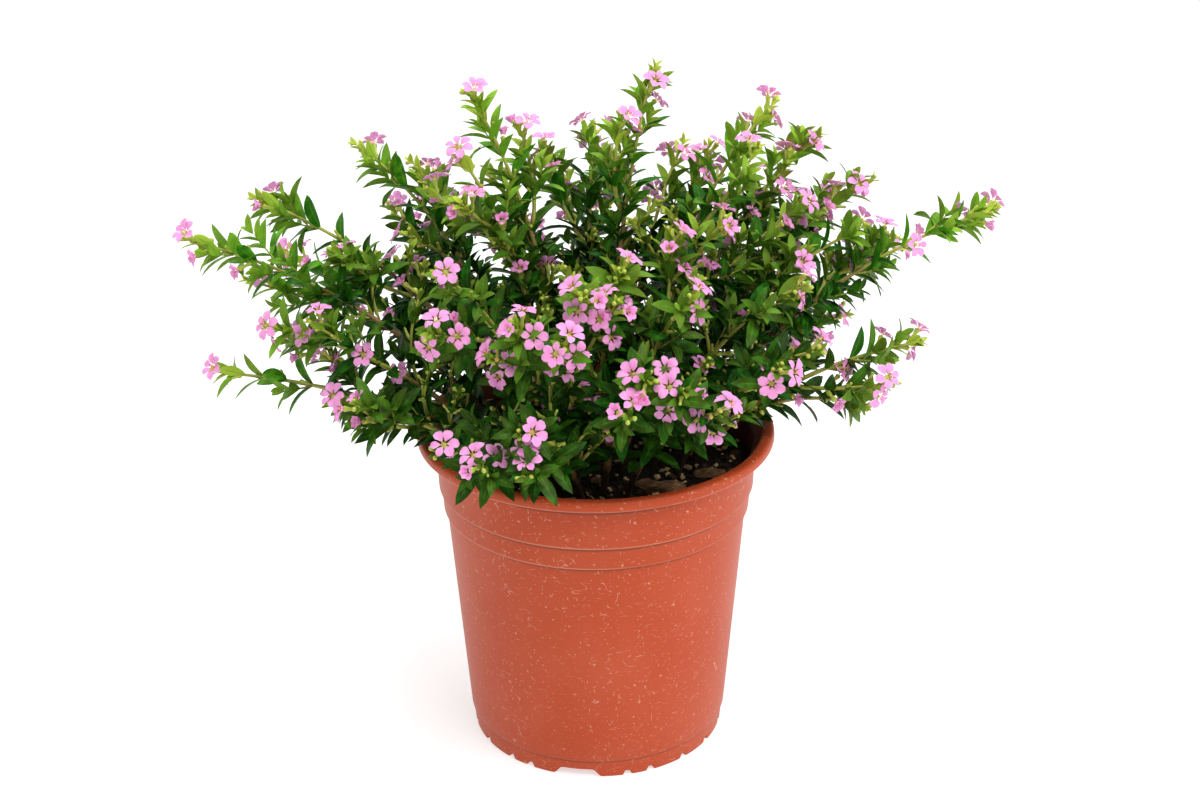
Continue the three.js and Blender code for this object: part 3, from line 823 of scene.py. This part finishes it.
def add_stamens(bm, spot, tube, key):
    """Five threads with thick tips."""
    for i in range(5):
        x, y = circle((i + draw(key + i)) / 5)
        lean = 0.35 * MM + 0.5 * MM * draw(key + 2 * i)

        def point(along, around):
            out = 0.3 * MM + lean * along
            foot = spot @ Matrix.Translation((out * x, out * y, 0))
            radius = (0.09 + 0.14 * ease(0.7, 0.85, along)) * MM * (0 < along < 1)
            return on_round(foot, radius, around, tube - 1.2 * MM + 3 * MM * along)

        roll_up(bm, 5, 3, point, lambda along: along, draw(key + i), finish=2)


def add_bloom(bm, spot, settings, key, lift, share=1.0):
    """Six petals on a calyx tube: the two towards the shoot's tip are the shorter ones."""
    tube = settings.tube
    add_calyx(bm, spot, tube, key, True)
    mouth = spot @ Matrix.Translation((0, 0, tube - 0.2 * MM))
    reach = (settings.radius - MOUTH_RADIUS) * share
    for i in range(6):
        angle = math.radians(30 + 60 * i + 7 * (draw(key + i) - 0.5))
        size = (reach * 0.88, UPPER_HALF * share) if i in (0, 5) else (reach, LOWER_HALF * share)
        own_lift = lift + 0.4 * (draw(key + 3 * i) - 0.5)
        add_petal(bm, mouth, angle, size, own_lift, key + 13 * i)
    if lift < 0.9:
        add_stamens(bm, spot, tube, key)


def add_bud(bm, spot, key):
    """A closed bud: a plump green tip on a short stalk."""
    plump = (0.8 + 0.35 * draw(key)) * MM
    tall = (2.6 + 2.2 * draw(key + 1)) * MM

    def point(along, around):
        body = 0.30 + 0.70 * math.sin(math.pi * ease(0.25, 1.25, along))
        return on_round(spot, plump * body * (0 < along < 1), around, tall * along)

    roll_up(bm, 6, 8, point, 0.5 * draw(key + 2), draw(key + 3), finish=1)


def bloom_fits(spot, settings):
    """Whether a bloom's mouth is within reach and clear of the pot."""
    mouth = spot @ Vector((0, 0, settings.tube))
    return in_reach(mouth) and clear_of_pot(mouth)


def add_open_blooms(bm, shoot, settings, chance):
    """The open blooms that the frame has, as far as the chance goes. Gives the joints that they take."""
    taken = set()
    for order in range(bloom_count(shoot)):
        step = bloom_step(shoot, order)
        key = shoot.key + 41 * order + 7
        spot = bloom_frame(shoot, step, order)
        if draw(key) < chance and bloom_fits(spot, settings):
            taken.add((step, order % 2))
            add_bloom(bm, spot, settings, key, 0.05 + 0.4 * draw(key + 2))
    return taken


def add_shoot_blooms(bm, shoot, settings, chance):
    """The open blooms, then more of them, half-open ones, buds and spent tubes at the other joints."""
    taken = add_open_blooms(bm, shoot, settings, chance)
    for step in range(8):
        if leaf_node(step) > 0.75 * shoot.arc.length:
            break
        for side in range(2):
            key = shoot.key + 23 * step + 59 * side
            pick = draw(key)
            spot = bloom_frame(shoot, step, side) @ Matrix.Rotation(0.5 * (draw(key + 4) - 0.5), 4, "Y")
            if (step, side) in taken or pick > BEARING or not bloom_fits(spot, settings):
                continue
            if step < 1 or (step < 3 and pick > YOUNG_BUDS) or pick > BUDS:
                add_bud(bm, spot, key)
            elif pick < OPEN * chance:
                add_bloom(bm, spot, settings, key, 0.05 + 0.5 * draw(key + 5), 0.9)
            elif pick < HALF_OPEN * chance:
                add_bloom(bm, spot, settings, key, 0.65 + 0.7 * draw(key + 5), 0.75)
            else:
                add_calyx(bm, spot, settings.tube * (0.6 + 0.3 * draw(key + 6)), key, False)


# Materials

def leaf_finish(settings):
    """Glossy dark green, yellow-green when young, with a pale rib and faint side veins, darkened by painted
    shade and lightened by painted light.
    """
    leaf = Finish("leaf", 0.42, Specular_IOR_Level=0.09)
    along, around = leaf.strip()
    across = leaf.absolute(leaf.maths("COSINE", leaf.times(around, 2 * math.pi)))
    # The shade mark is painted shade and painted light: it runs the grown green from its shaded copy to its
    # lit copy, and dims the rib in painted shade
    shade = leaf.plus(leaf.times(leaf.mark("shade"), 0.75), leaf.times(leaf.mottle(240.0, 0.3, 0.7), 0.25))
    grown = leaf.blend(leaf.ramp(shade, 0.05, 0.4), settings.deep, settings.grown)
    grown = leaf.blend(leaf.ramp(shade, 0.35, 0.8), grown, settings.lit)
    body = leaf.blend(leaf.mark("tone"), grown, settings.young)
    rib = leaf.times(leaf.ramp(across, 0.05, 0.17, 0.65, 0.0), leaf.ramp(along, 0.9, 0.6))
    rib = leaf.times(rib, leaf.ramp(shade, 0.0, 0.6, 0.3, 1.0))
    leaf.link("Base Color", leaf.blend(rib, body, settings.rib))
    slant = leaf.minus(leaf.times(along, 46.0), leaf.times(across, 5.0))
    veins = leaf.times(leaf.maths("SINE", slant), 0.5)
    leaf.bump(leaf.plus(veins, leaf.times(rib, -1.5)), 0.35, 0.00012)
    return leaf.material


def stem_finish(settings):
    """Yellow-green at the tip, reddish brown and a little rough lower down."""
    stem = Finish("stem", 0.5)
    patches = stem.mottle(420.0, 0.3, 0.7)
    tone = stem.plus(stem.mark("tone"), stem.times(patches, 0.2), clamp=True)
    grown = stem.blend(stem.ramp(tone, 0.05, 0.55), settings.green_stem, settings.tan_stem)
    stem.link("Base Color", stem.blend(stem.ramp(tone, 0.6, 1.0), grown, settings.brown_stem))
    stem.bump(patches, 0.4, 0.0002)
    return stem.material


def petal_finish(settings):
    """Soft mauve pink with darker veins fanning out from a yellow throat."""
    petal = Finish("petal", 0.6, Subsurface_Weight=0.5, Subsurface_Scale=0.002,
                   Subsurface_Radius=(1.0, 0.75, 0.95))
    along, around = petal.strip()
    across = petal.maths("COSINE", petal.times(around, 2 * math.pi))
    rays = petal.absolute(petal.maths("SINE", petal.times(across, 7.5)))
    vein = petal.times(petal.ramp(rays, 0.0, 0.45, 0.55, 0.0), petal.ramp(along, 0.95, 0.25, 0.15, 1.0))
    patches = petal.mottle(600.0, 0.3, 0.8)
    folds = petal.plus(vein, petal.times(patches, 0.18), clamp=True)
    body = petal.blend(folds, settings.petal, settings.vein)
    petal.link("Base Color", petal.blend(petal.ramp(along, 0.20, 0.04), body, settings.throat))
    petal.bump(petal.plus(rays, patches), 0.4, 0.00012)
    return petal.material


def calyx_finish(settings):
    """Yellow-green with a red blush on some of the tubes."""
    calyx = Finish("calyx", 0.5)
    along, _ = calyx.strip()
    sunlit = calyx.ramp(calyx.mark("shade"), 0.35, 0.9, 0.15, 0.9)
    blush = calyx.times(calyx.mottle(380.0, 0.45, 0.75), sunlit)
    calyx.link("Base Color", calyx.blend(blush, settings.calyx, settings.blush))
    calyx.bump(calyx.maths("SINE", calyx.times(along, 60.0)), 0.2, 0.0001)
    return calyx.material


def stamen_finish(settings):
    """Yellow threads with dark tips."""
    stamen = Finish("stamen", 0.6)
    tip = stamen.ramp(stamen.mark("tone"), 0.68, 0.8)
    stamen.link("Base Color", stamen.blend(tip, settings.throat, settings.vein))
    return stamen.material


def pot_finish(settings):
    """Terracotta-coloured plastic, faded in patches, with fine curved scuffs, pale edges of wear and painted
    highlight, dark lines of dirt and painted shadow under the ledges, and damp dirt and painted shade inside.
    """
    pot = Finish("pot_plastic", 0.5, Specular_IOR_Level=0.25)
    edges, inner = pot.mark("shade"), pot.mark("tone")
    body = pot.blend(pot.times(pot.mottle(28.0, 0.35, 0.75, 5.0), 0.5), settings.plastic, settings.faded)
    handled = pot.mottle(17.0, 0.35, 0.6)
    lines = pot.most(pot.scuffs(130.0, 0.012, 0.56), pot.scuffs(260.0, 0.026, 0.58))
    lines = pot.times(lines, pot.ramp(handled, 0.0, 1.0, 0.35, 1.0))
    dust = pot.mottle(800.0, 0.69, 0.75, 1.0)
    marks = pot.most(pot.times(lines, 0.6), pot.times(dust, 0.4))
    # Pale lines on the edges of the steps and the lip: partly rubbed wear, partly painted highlight
    wear_and_highlight = pot.times(pot.ramp(edges, 0.55, 1.0, 0.0, 0.3), pot.ramp(handled, 0.0, 1.0, 0.25, 1.0))
    marks = pot.most(marks, wear_and_highlight)
    body = pot.blend(pot.times(marks, pot.minus(1.0, inner)), body, settings.scuff)
    # Dark lines under the steps, the lip and the skirt: partly dirt, partly painted shadow
    body = pot.blend(pot.ramp(edges, 0.45, 0.0, 0.0, 0.6), body, settings.stain_and_shade)
    # The inside below the lip, mottled: partly damp dirt, partly painted shade
    dirt_and_shade_inside = pot.ramp(pot.mottle(70.0, 0.2, 0.8), 0.0, 1.0, 0.65, 1.0)
    pot.link("Base Color", pot.blend(pot.times(inner, dirt_and_shade_inside), body, settings.stain_and_shade))
    pot.link("Roughness", pot.plus(pot.times(marks, 0.25), 0.45))
    pot.bump(pot.plus(pot.times(lines, -0.6), dust), 0.35, 0.00015)
    return pot.material


def soil_finish(settings):
    """Damp peat, with lighter crumbs, tan grit and pale rootlets told apart by their tone."""
    soil = Finish("soil", 0.9, Specular_IOR_Level=0.2)
    tone = soil.mark("tone")
    peat = soil.blend(soil.times(soil.mottle(700.0, 0.45, 0.8, 4.0), 0.55), settings.peat, settings.crumb)
    brown = soil.blend(soil.ramp(tone, 0.1, 0.45), peat, settings.crumb)
    grit = soil.blend(soil.times(soil.mark("shade"), 0.6), settings.grit, settings.rootlet)
    soil.link("Base Color", soil.blend(soil.ramp(tone, 0.6, 0.9), brown, grit))
    soil.bump(soil.mottle(1400.0, 0.2, 0.8), 0.7, 0.0006)
    return soil.material


def bark_finish(settings):
    """Brown fibres along the chip, lighter on their ridges."""
    bark = Finish("bark", 0.85)
    along, around = bark.strip()
    grain = bark.node("ShaderNodeCombineXYZ", {0: bark.times(along, 5.0), 1: bark.times(around, 60.0)})
    fibres = bark.mottle(1.0, 0.4, 0.65, place=grain.outputs[0])
    bark.link("Base Color", bark.blend(fibres, settings.bark, settings.fibre))
    bark.bump(fibres, 0.9, 0.0008)
    return bark.material


# Pot

# The ends of the straight inner wall, and the middle of the foot ring, as radius and height in millimetres
WALL_TOP = (65.8, 132)
WALL_FOOT = (54.4, 9)
FOOT_RADIUS = 54.5

# Edges of the outline painted pale, for rubbed wear and painted highlight, and corners under the ledges and
# the lip painted dark, for dirt and painted shadow: radius and height in millimetres
WEAR_AND_HIGHLIGHT_EDGES = ((66.6, 115.45), (64.87, 105.5), (74.6, 135.8))
DIRT_AND_SHADOW_CORNERS = ((65.4, 114.45), (63.62, 104.68), (67.33, 131.7), (55.15, 7.8))


def bend_points(middle, radius, start, end, count):
    """Points in millimetres on a round of the pot's outline, between two angles in degrees."""
    x, y = middle
    for i in range(count + 1):
        turn = math.radians(start + (end - start) * i / count)
        yield (x + radius * math.cos(turn), y + radius * math.sin(turn))


def straight(start, end, count):
    """Points on a straight run of the outline, without its start."""
    (x, y), (end_x, end_y) = start, end
    return [(x + (end_x - x) * i / count, y + (end_y - y) * i / count) for i in range(1, count + 1)]


def pot_outline():
    """From the middle of the underside, up the outside and down the inside to the middle of the floor."""
    foot = [(0, 4), (25, 4), (50.6, 4), *bend_points((50.9, 3.2), 0.8, 90, 0, 4), (51.7, 1.2),
            *bend_points((52.2, 0.5), 0.5, 180, 270, 3), *bend_points((54.1, 0.5), 0.5, 270, 360, 3),
            (54.9, 4.4), (55.1, 7.1), (55.15, 7.8), (55.75, 8.5), (56.0, 9.2)]
    wall = [*straight((56.0, 9.2), (63.49, 103.6), 12), (63.55, 104.4)]
    low_step = [(63.57, 104.7), (63.7, 104.95), (64.65, 105.2), (64.85, 105.35), (64.9, 105.7),
                (64.92, 106.1), (65.15, 110), (65.36, 113.5)]
    high_step = [(65.4, 114.2), (65.42, 114.65), (65.55, 114.9), (66.4, 115.15), (66.58, 115.3),
                 (66.62, 115.65), (66.64, 116.1), (67.0, 125), (67.29, 130.6), (67.32, 131.4)]
    lip = [(67.34, 132.0), (67.38, 132.8), (67.45, 134.4), *bend_points((67.95, 134.9), 0.5, 180, 90, 2),
           (71, 135.4), *bend_points((73.6, 136.8), 1.4, 270, 360, 5), (74.9, 138.2),
           *bend_points((73.1, 138.3), 1.7, 10, 90, 5), *bend_points((71.8, 137.2), 2.8, 95, 170, 5)]
    inside = [(68.4, 136.2), (67.0, 134.9), (66.0, 133.2), WALL_TOP, *straight(WALL_TOP, WALL_FOOT, 6),
              (53.4, 7.2), (51.7, 6), (25, 6), (0, 6)]
    return foot + wall + low_step + high_step + lip + inside


def notch_height(angle):
    """How far the foot is cut away at an angle in degrees: three wide notches, with narrow ones between."""
    def away(middle):
        return math.radians(abs((angle - middle + 180) % 360 - 180)) * FOOT_RADIUS

    height = 0.0
    for wide in (-99.5, 20.5, 140.5):
        height = max(height, 3.4 * ease(10.5, 6.5, away(wide)))
        for offset in (-51.5, -33.5, -22.6, 22.6, 33.5, 51.5):
            height = max(height, 2.0 * ease(2.0, 1.2, away(wide + offset)))
    return height * MM


def near(spots, reach, height):
    """1 within a third of a millimetre of one of the spots, otherwise 0."""
    return any(math.hypot(reach - r * MM, height - z * MM) < 0.34 * MM for r, z in spots)


def inner_radius(height):
    """The inner wall's radius at a height, in metres."""
    (low_radius, low), (high_radius, high) = WALL_FOOT, WALL_TOP
    return (low_radius + (high_radius - low_radius) * (height / MM - low) / (high - low)) * MM


def pot_body(settings):
    """The turned outline with its foot notched, marked inside for damp dirt and painted shade, on its edges
    for wear and painted highlight, and under its ledges for dirt and painted shadow.
    """
    bm = blank()
    verts = [bm.verts.new((r * MM, 0, z * MM)) for r, z in pot_outline()]
    edges = [bm.edges.new(pair) for pair in zip(verts, verts[1:])]
    bmesh.ops.spin(bm, geom=verts + edges, cent=(0, 0, 0), axis=(0, 0, 1), angle=2 * math.pi,
                   steps=settings.segments, use_merge=True, use_duplicate=False)
    bmesh.ops.remove_doubles(bm, verts=bm.verts, dist=0.001 * MM)
    tones, shades = bm.verts.layers.float["tone"], bm.verts.layers.float["shade"]
    for vert in bm.verts:
        reach = math.hypot(vert.co.x, vert.co.y)
        if vert.co.z < 2 * MM and reach > 50 * MM:
            vert.co.z += notch_height(math.degrees(math.atan2(vert.co.y, vert.co.x)))
        height = vert.co.z
        # The tone mark picks out the inside and the lip's inner face, which the material darkens for damp
        # dirt and painted shade
        inner = reach < inner_radius(height) + 0.15 * MM or (height > 132.5 * MM and reach < 67.3 * MM)
        if (inner and height > 5.9 * MM) or (height > 135.2 * MM and reach < 70.6 * MM):
            vert[tones] = ease(138.6 * MM, 135.0 * MM, height)
        # The shade mark: up on the pale edges, for wear and painted highlight, down in the dark corners, for
        # dirt and painted shadow
        vert[shades] = 0.5 + 0.5 * near(WEAR_AND_HIGHLIGHT_EDGES, reach, height) - 0.5 * near(DIRT_AND_SHADOW_CORNERS, reach, height)
    return bm


def cut_drain_holes(piece):
    """Four round holes through the floor."""
    bm = bmesh.new()
    for i in range(4):
        x, y = circle((i + 0.5) / 4)
        spot = Matrix.Translation((34 * MM * x, 34 * MM * y, 5 * MM))
        bmesh.ops.create_cone(bm, cap_ends=True, segments=32, radius1=4.5 * MM, radius2=4.5 * MM,
                              depth=8 * MM, matrix=spot)
    cutter = new_object("drain_cut", new_mesh(bm, "drain_cut"))
    cut = piece.modifiers.new("drain", "BOOLEAN")
    cut.object, cut.operation, cut.solver = cutter, "DIFFERENCE", "EXACT"
    bpy.context.view_layer.update()
    result = bpy.data.meshes.new_from_object(piece.evaluated_get(bpy.context.evaluated_depsgraph_get()))
    piece.modifiers.clear()
    piece.data = result
    bpy.data.objects.remove(cutter)


# Soil

# The bed's radius and the height of its underside in millimetres, and the share of its grid that is its top
BED_RADIUS = 64.3
BED_FOOT = 8.0
TOP_SHARE = 0.8
SIDE_SHARE = 0.2


def lump(x, y):
    """The frame's own height of the soil's surface over its level, in millimetres."""
    return 1.3 * (math.sin(x * 0.21 + 1.3) * math.cos(y * 0.17) + 0.5 * math.sin(x * 0.43 - y * 0.39))


def soil_height(x, y):
    """The surface in millimetres: the frame's lumps with crumbs on them."""
    fine = noise.noise(Vector((x * 0.35, y * 0.35, 0))) * 1.1 + noise.noise(Vector((x, y, 7))) * 0.7
    return SOIL_LEVEL + lump(x, y) + fine


def add_soil_block(bm):
    """The lumpy top out to the wall, then down the wall to the foot."""

    def point(along, around):
        x, y = circle(around)
        if along <= TOP_SHARE:
            reach = BED_RADIUS * along / TOP_SHARE
            x, y = reach * x, reach * y
            drop = 1.6 * ease(BED_RADIUS - 4, BED_RADIUS, reach)
            return Vector((x, y, soil_height(x, y) - drop)) * MM
        down = (along - TOP_SHARE) / SIDE_SHARE
        reach = (BED_RADIUS - 11.0 * ease(0, 0.9, down)) * (down < 1)
        height = SOIL_LEVEL - 2 - (SOIL_LEVEL - 2 - BED_FOOT) * ease(0, 0.9, down)
        return Vector((reach * x, reach * y, height)) * MM

    roll_up(bm, 75, 130, point, 0.0, 0.5)


def add_crumb(bm, spot, radius, tone, rng):
    """An angular crumb or grain."""
    tones, shades = bm.verts.layers.float["tone"], bm.verts.layers.float["shade"]
    stretch = Matrix.Diagonal((1 + 0.5 * rng.random(), 1, 0.6 + 0.3 * rng.random(), 1))
    turned = Matrix.Rotation(rng.random() * math.pi, 4, "Z") @ Matrix.Rotation(rng.random(), 4, "X")
    matrix = Matrix.Translation(spot) @ turned @ stretch
    shade = rng.random()
    for vert in bmesh.ops.create_icosphere(bm, subdivisions=1, radius=radius, matrix=matrix)["verts"]:
        vert.co += Vector((rng.random() - 0.5, rng.random() - 0.5, rng.random() - 0.5)) * radius * 0.5
        vert[tones], vert[shades] = tone, shade


def add_crumbs(bm, settings):
    """Loose crumbs and tan grains, strewn evenly over the bed."""
    rng = random.Random(11)
    for i in range(settings.crumbs + settings.stones):
        reach = (BED_RADIUS - 1.8) * math.sqrt(rng.random())
        x, y = [reach * way for way in circle(rng.random())]
        stone = i >= settings.crumbs
        radius = (0.6 + 1.0 * rng.random()) if stone else (0.5 + 1.4 * rng.random() ** 3)
        tone = 1.0 if stone else 0.4 * rng.random()
        add_crumb(bm, Vector((x, y, soil_height(x, y) + 0.3 * radius)) * MM, radius * MM, tone, rng)


def add_rootlets(bm, settings):
    """Bare rootlets, each arched a little over the soil."""
    rng = random.Random(5)
    for _ in range(settings.rootlets):
        reach = 20 + 38 * rng.random()
        x, y = circle(rng.random())
        start = Vector((reach * x, reach * y, 0))
        heading, bent = rng.random() * 2 * math.pi, (rng.random() - 0.5) * 1.6
        long = 7 + 9 * rng.random()

        def point(along, around):
            way = heading + bent * along
            middle = start + Vector((math.cos(way), math.sin(way), 0)) * long * (along - 0.5)
            middle.z = soil_height(middle.x, middle.y) + 0.7 + 1.2 * math.sin(math.pi * along)
            level, upright = circle(around)
            ring = Vector((-math.sin(way) * level, math.cos(way) * level, upright))
            radius = (0.34 - 0.12 * along) * (0 < along < 1)
            return (middle + ring * radius) * MM

        roll_up(bm, 12, 6, point, 1.0, 1.0)


def add_chip(bm, chip):
    """A splintered chip of bark, ridged along its length, lying tilted in the soil."""
    (x, y), long, wide, thick, turn = chip
    spot = Matrix.Translation(Vector((x, y, SOIL_LEVEL + 1.6)) * MM)
    tilt = Matrix.Rotation(math.radians(turn / 3), 4, "Y")
    spot = spot @ Matrix.Rotation(math.radians(turn), 4, "Z") @ tilt

    def point(along, around):
        ends = min(1, 3.2 * math.sqrt(max(along * (1 - along), 0)))
        ragged = 1 + 0.18 * noise.noise(Vector((along * 6, around * 14, long)))
        across, high = [math.copysign(abs(way) ** 0.6, way) * ends * ragged for way in circle(around)]
        bowed = 0.12 * thick * math.sin(3 * along * math.pi + x)
        return spot @ (Vector(((2 * along - 1) * long, across * wide, high * thick / 2 + bowed)) * MM)

    roll_up(bm, 24, 20, point, 0.0)


# Operators

class HEATHER_OT_pot(bpy.types.Operator):
    """Build the pot over its node in the frame."""
    bl_idname = "heather.pot"
    bl_label = "Pot"

    def execute(self, context):
        settings = context.scene.heather_pot
        piece = to_piece(pot_body(settings), "pot_shell", [pot_finish(settings)], 32)
        cut_drain_holes(piece)
        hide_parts("pot")
        return {"FINISHED"}


class HEATHER_OT_soil(bpy.types.Operator):
    """Build the soil with its crumbs, grit and rootlets."""
    bl_idname = "heather.soil"
    bl_label = "Soil"

    def execute(self, context):
        settings = context.scene.heather_soil
        material = soil_finish(settings)
        bm = blank()
        add_soil_block(bm)
        piece = to_piece(bm, "soil_bed", [material], 180)
        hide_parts("soil")
        bm = blank()
        add_crumbs(bm, settings)
        add_rootlets(bm, settings)
        to_piece(bm, "soil_crumbs", [material], 40)
        return {"FINISHED"}


class HEATHER_OT_bark(bpy.types.Operator):
    """Build the bark chips."""
    bl_idname = "heather.bark"
    bl_label = "Bark chips"

    def execute(self, context):
        material = bark_finish(context.scene.heather_soil)
        for i, chip in enumerate(CHIPS):
            bm = blank()
            add_chip(bm, chip)
            piece = to_piece(bm, f"bark_piece_{i + 1}", [material], 50)
            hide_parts(f"bark_chip_{i + 1}")
        return {"FINISHED"}


class HEATHER_OT_foliage(bpy.types.Operator):
    """Build the stems and leaves of every cane."""
    bl_idname = "heather.foliage"
    bl_label = "Stems and leaves"

    def execute(self, context):
        settings = context.scene.heather_leaf
        materials = [leaf_finish(settings), stem_finish(settings)]
        for index in range(len(CANES)):
            bm = blank()
            shoots, fills = shoots_of(index)
            for shoot in shoots + fills:
                add_stem(bm, shoot)
                add_leaves(bm, shoot, shoot.key + 1000, settings)
            for shoot in shoots:
                add_tufts(bm, shoot, shoot.key + 2000, settings)
            piece = to_piece(bm, f"foliage_{index + 1:02d}", materials)
            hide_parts(f"cane_{index + 1:02d}")
        return {"FINISHED"}


class HEATHER_OT_blooms(bpy.types.Operator):
    """Build the blooms, buds and calyx tubes of every cane."""
    bl_idname = "heather.blooms"
    bl_label = "Blooms and buds"

    def execute(self, context):
        settings = context.scene.heather_bloom
        materials = [petal_finish(settings), calyx_finish(settings), stamen_finish(settings)]
        for index in range(len(CANES)):
            bm = blank()
            shoots, fills = shoots_of(index)
            for shoot in shoots:
                add_shoot_blooms(bm, shoot, settings, 1.0)
            for shoot in fills:
                add_shoot_blooms(bm, shoot, settings, 0.22)
            to_piece(bm, f"blooms_{index + 1:02d}", materials)
        return {"FINISHED"}


class HEATHER_OT_stage(bpy.types.Operator):
    """Set the camera, the floor and the lights."""
    bl_idname = "heather.stage"
    bl_label = "Camera, floor and lights"

    def execute(self, context):
        settings = context.scene.heather_stage
        add_camera(settings)
        add_floor(settings)
        for lamp in LAMPS:
            add_light(*lamp)
        add_sky()
        return {"FINISHED"}


# Stage

# Each light in metres and watts: its name, place, size and power
LAMPS = (
    ("key", (0.55, -0.75, 1.4), 0.9, 14.0),
    ("side", (1.2, -0.35, 0.5), 0.9, 5.0),
    ("fill", (-1.2, -0.8, 0.9), 1.2, 3.0),
    ("top", (-0.1, 0.3, 1.7), 1.2, 17.0),
)
SKY_STRENGTH = 0.5
FLOOR_RADIUS = 4.0


def add_camera(settings):
    """A camera at the photo's viewing angle."""
    data = bpy.data.cameras.new("view")
    data.lens, data.sensor_width = settings.lens, 36.0
    data.clip_start, data.clip_end = 0.01, 20.0
    camera = new_object("view", data)
    place = Matrix.Translation((0, -settings.distance, settings.height))
    turn = Matrix.Rotation(-settings.yaw, 4, "Z") @ Matrix.Rotation(math.pi / 2 - settings.pitch, 4, "X")
    camera.matrix_world = place @ turn @ Matrix.Rotation(-settings.roll, 4, "Z")
    bpy.context.scene.camera = camera


def add_floor(settings):
    """A round floor that glows a little, so that it looks as pale as the studio's."""
    bm = bmesh.new()
    bmesh.ops.create_circle(bm, cap_ends=True, segments=96, radius=FLOOR_RADIUS)
    pale = Finish("floor", 0.9, Specular_IOR_Level=0.1, Base_Color=(*settings.floor, 1),
                  Emission_Color=(*WHITE, 1), Emission_Strength=settings.glow)
    mesh = new_mesh(bm, "floor")
    mesh.materials.append(pale.material)
    floor = new_object("floor", mesh)
    floor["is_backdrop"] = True


def add_light(name, place, size, power):
    """A soft square light that looks at the plant's middle."""
    data = bpy.data.lights.new(name, "AREA")
    data.size, data.energy = size, power
    lamp = new_object(name, data)
    lamp.location = place
    lamp.rotation_euler = (HEART - Vector(place)).to_track_quat("-Z", "Y").to_euler()


def add_sky():
    """An even white light all round."""
    world = bpy.data.worlds.new("studio")
    world.use_nodes = True
    sky = world.node_tree.nodes["Background"]
    sky.inputs["Color"].default_value = (*WHITE, 1)
    sky.inputs["Strength"].default_value = SKY_STRENGTH
    bpy.context.scene.world = world
    bpy.context.scene.view_settings.view_transform = "Standard"


# Panel and registration

SETTINGS = {
    "heather_pot": PotSettings,
    "heather_soil": SoilSettings,
    "heather_leaf": LeafSettings,
    "heather_bloom": BloomSettings,
    "heather_stage": StageSettings,
}
OPERATORS = (HEATHER_OT_pot, HEATHER_OT_soil, HEATHER_OT_bark, HEATHER_OT_foliage, HEATHER_OT_blooms,
             HEATHER_OT_stage)


class HEATHER_PT_panel(bpy.types.Panel):
    """The operators and their settings."""
    bl_label = "Potted False Heather"
    bl_space_type = "VIEW_3D"
    bl_region_type = "UI"
    bl_category = "Heather"

    def draw(self, context):
        for operator in OPERATORS:
            self.layout.operator(operator.bl_idname)
        for name, group in SETTINGS.items():
            box = self.layout.box()
            for title in group.__annotations__:
                box.prop(getattr(context.scene, name), title)


CLASSES = (*SETTINGS.values(), *OPERATORS, HEATHER_PT_panel)


def register():
    for item in CLASSES:
        bpy.utils.register_class(item)
    for name, group in SETTINGS.items():
        setattr(bpy.types.Scene, name, PointerProperty(type=group))


def unregister():
    for name in SETTINGS:
        delattr(bpy.types.Scene, name)
    for item in reversed(CLASSES):
        bpy.utils.unregister_class(item)


def main():
    register()
    bpy.ops.heather.stage()
    bpy.ops.heather.pot()
    bpy.ops.heather.soil()
    bpy.ops.heather.bark()
    bpy.ops.heather.foliage()
    bpy.ops.heather.blooms()
    boxes = {"cad": CAD_BOX, "visual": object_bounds()}
    {name: [list(corner) for corner in box] for name, box in boxes.items()}


if __name__ == "__main__":
    main()
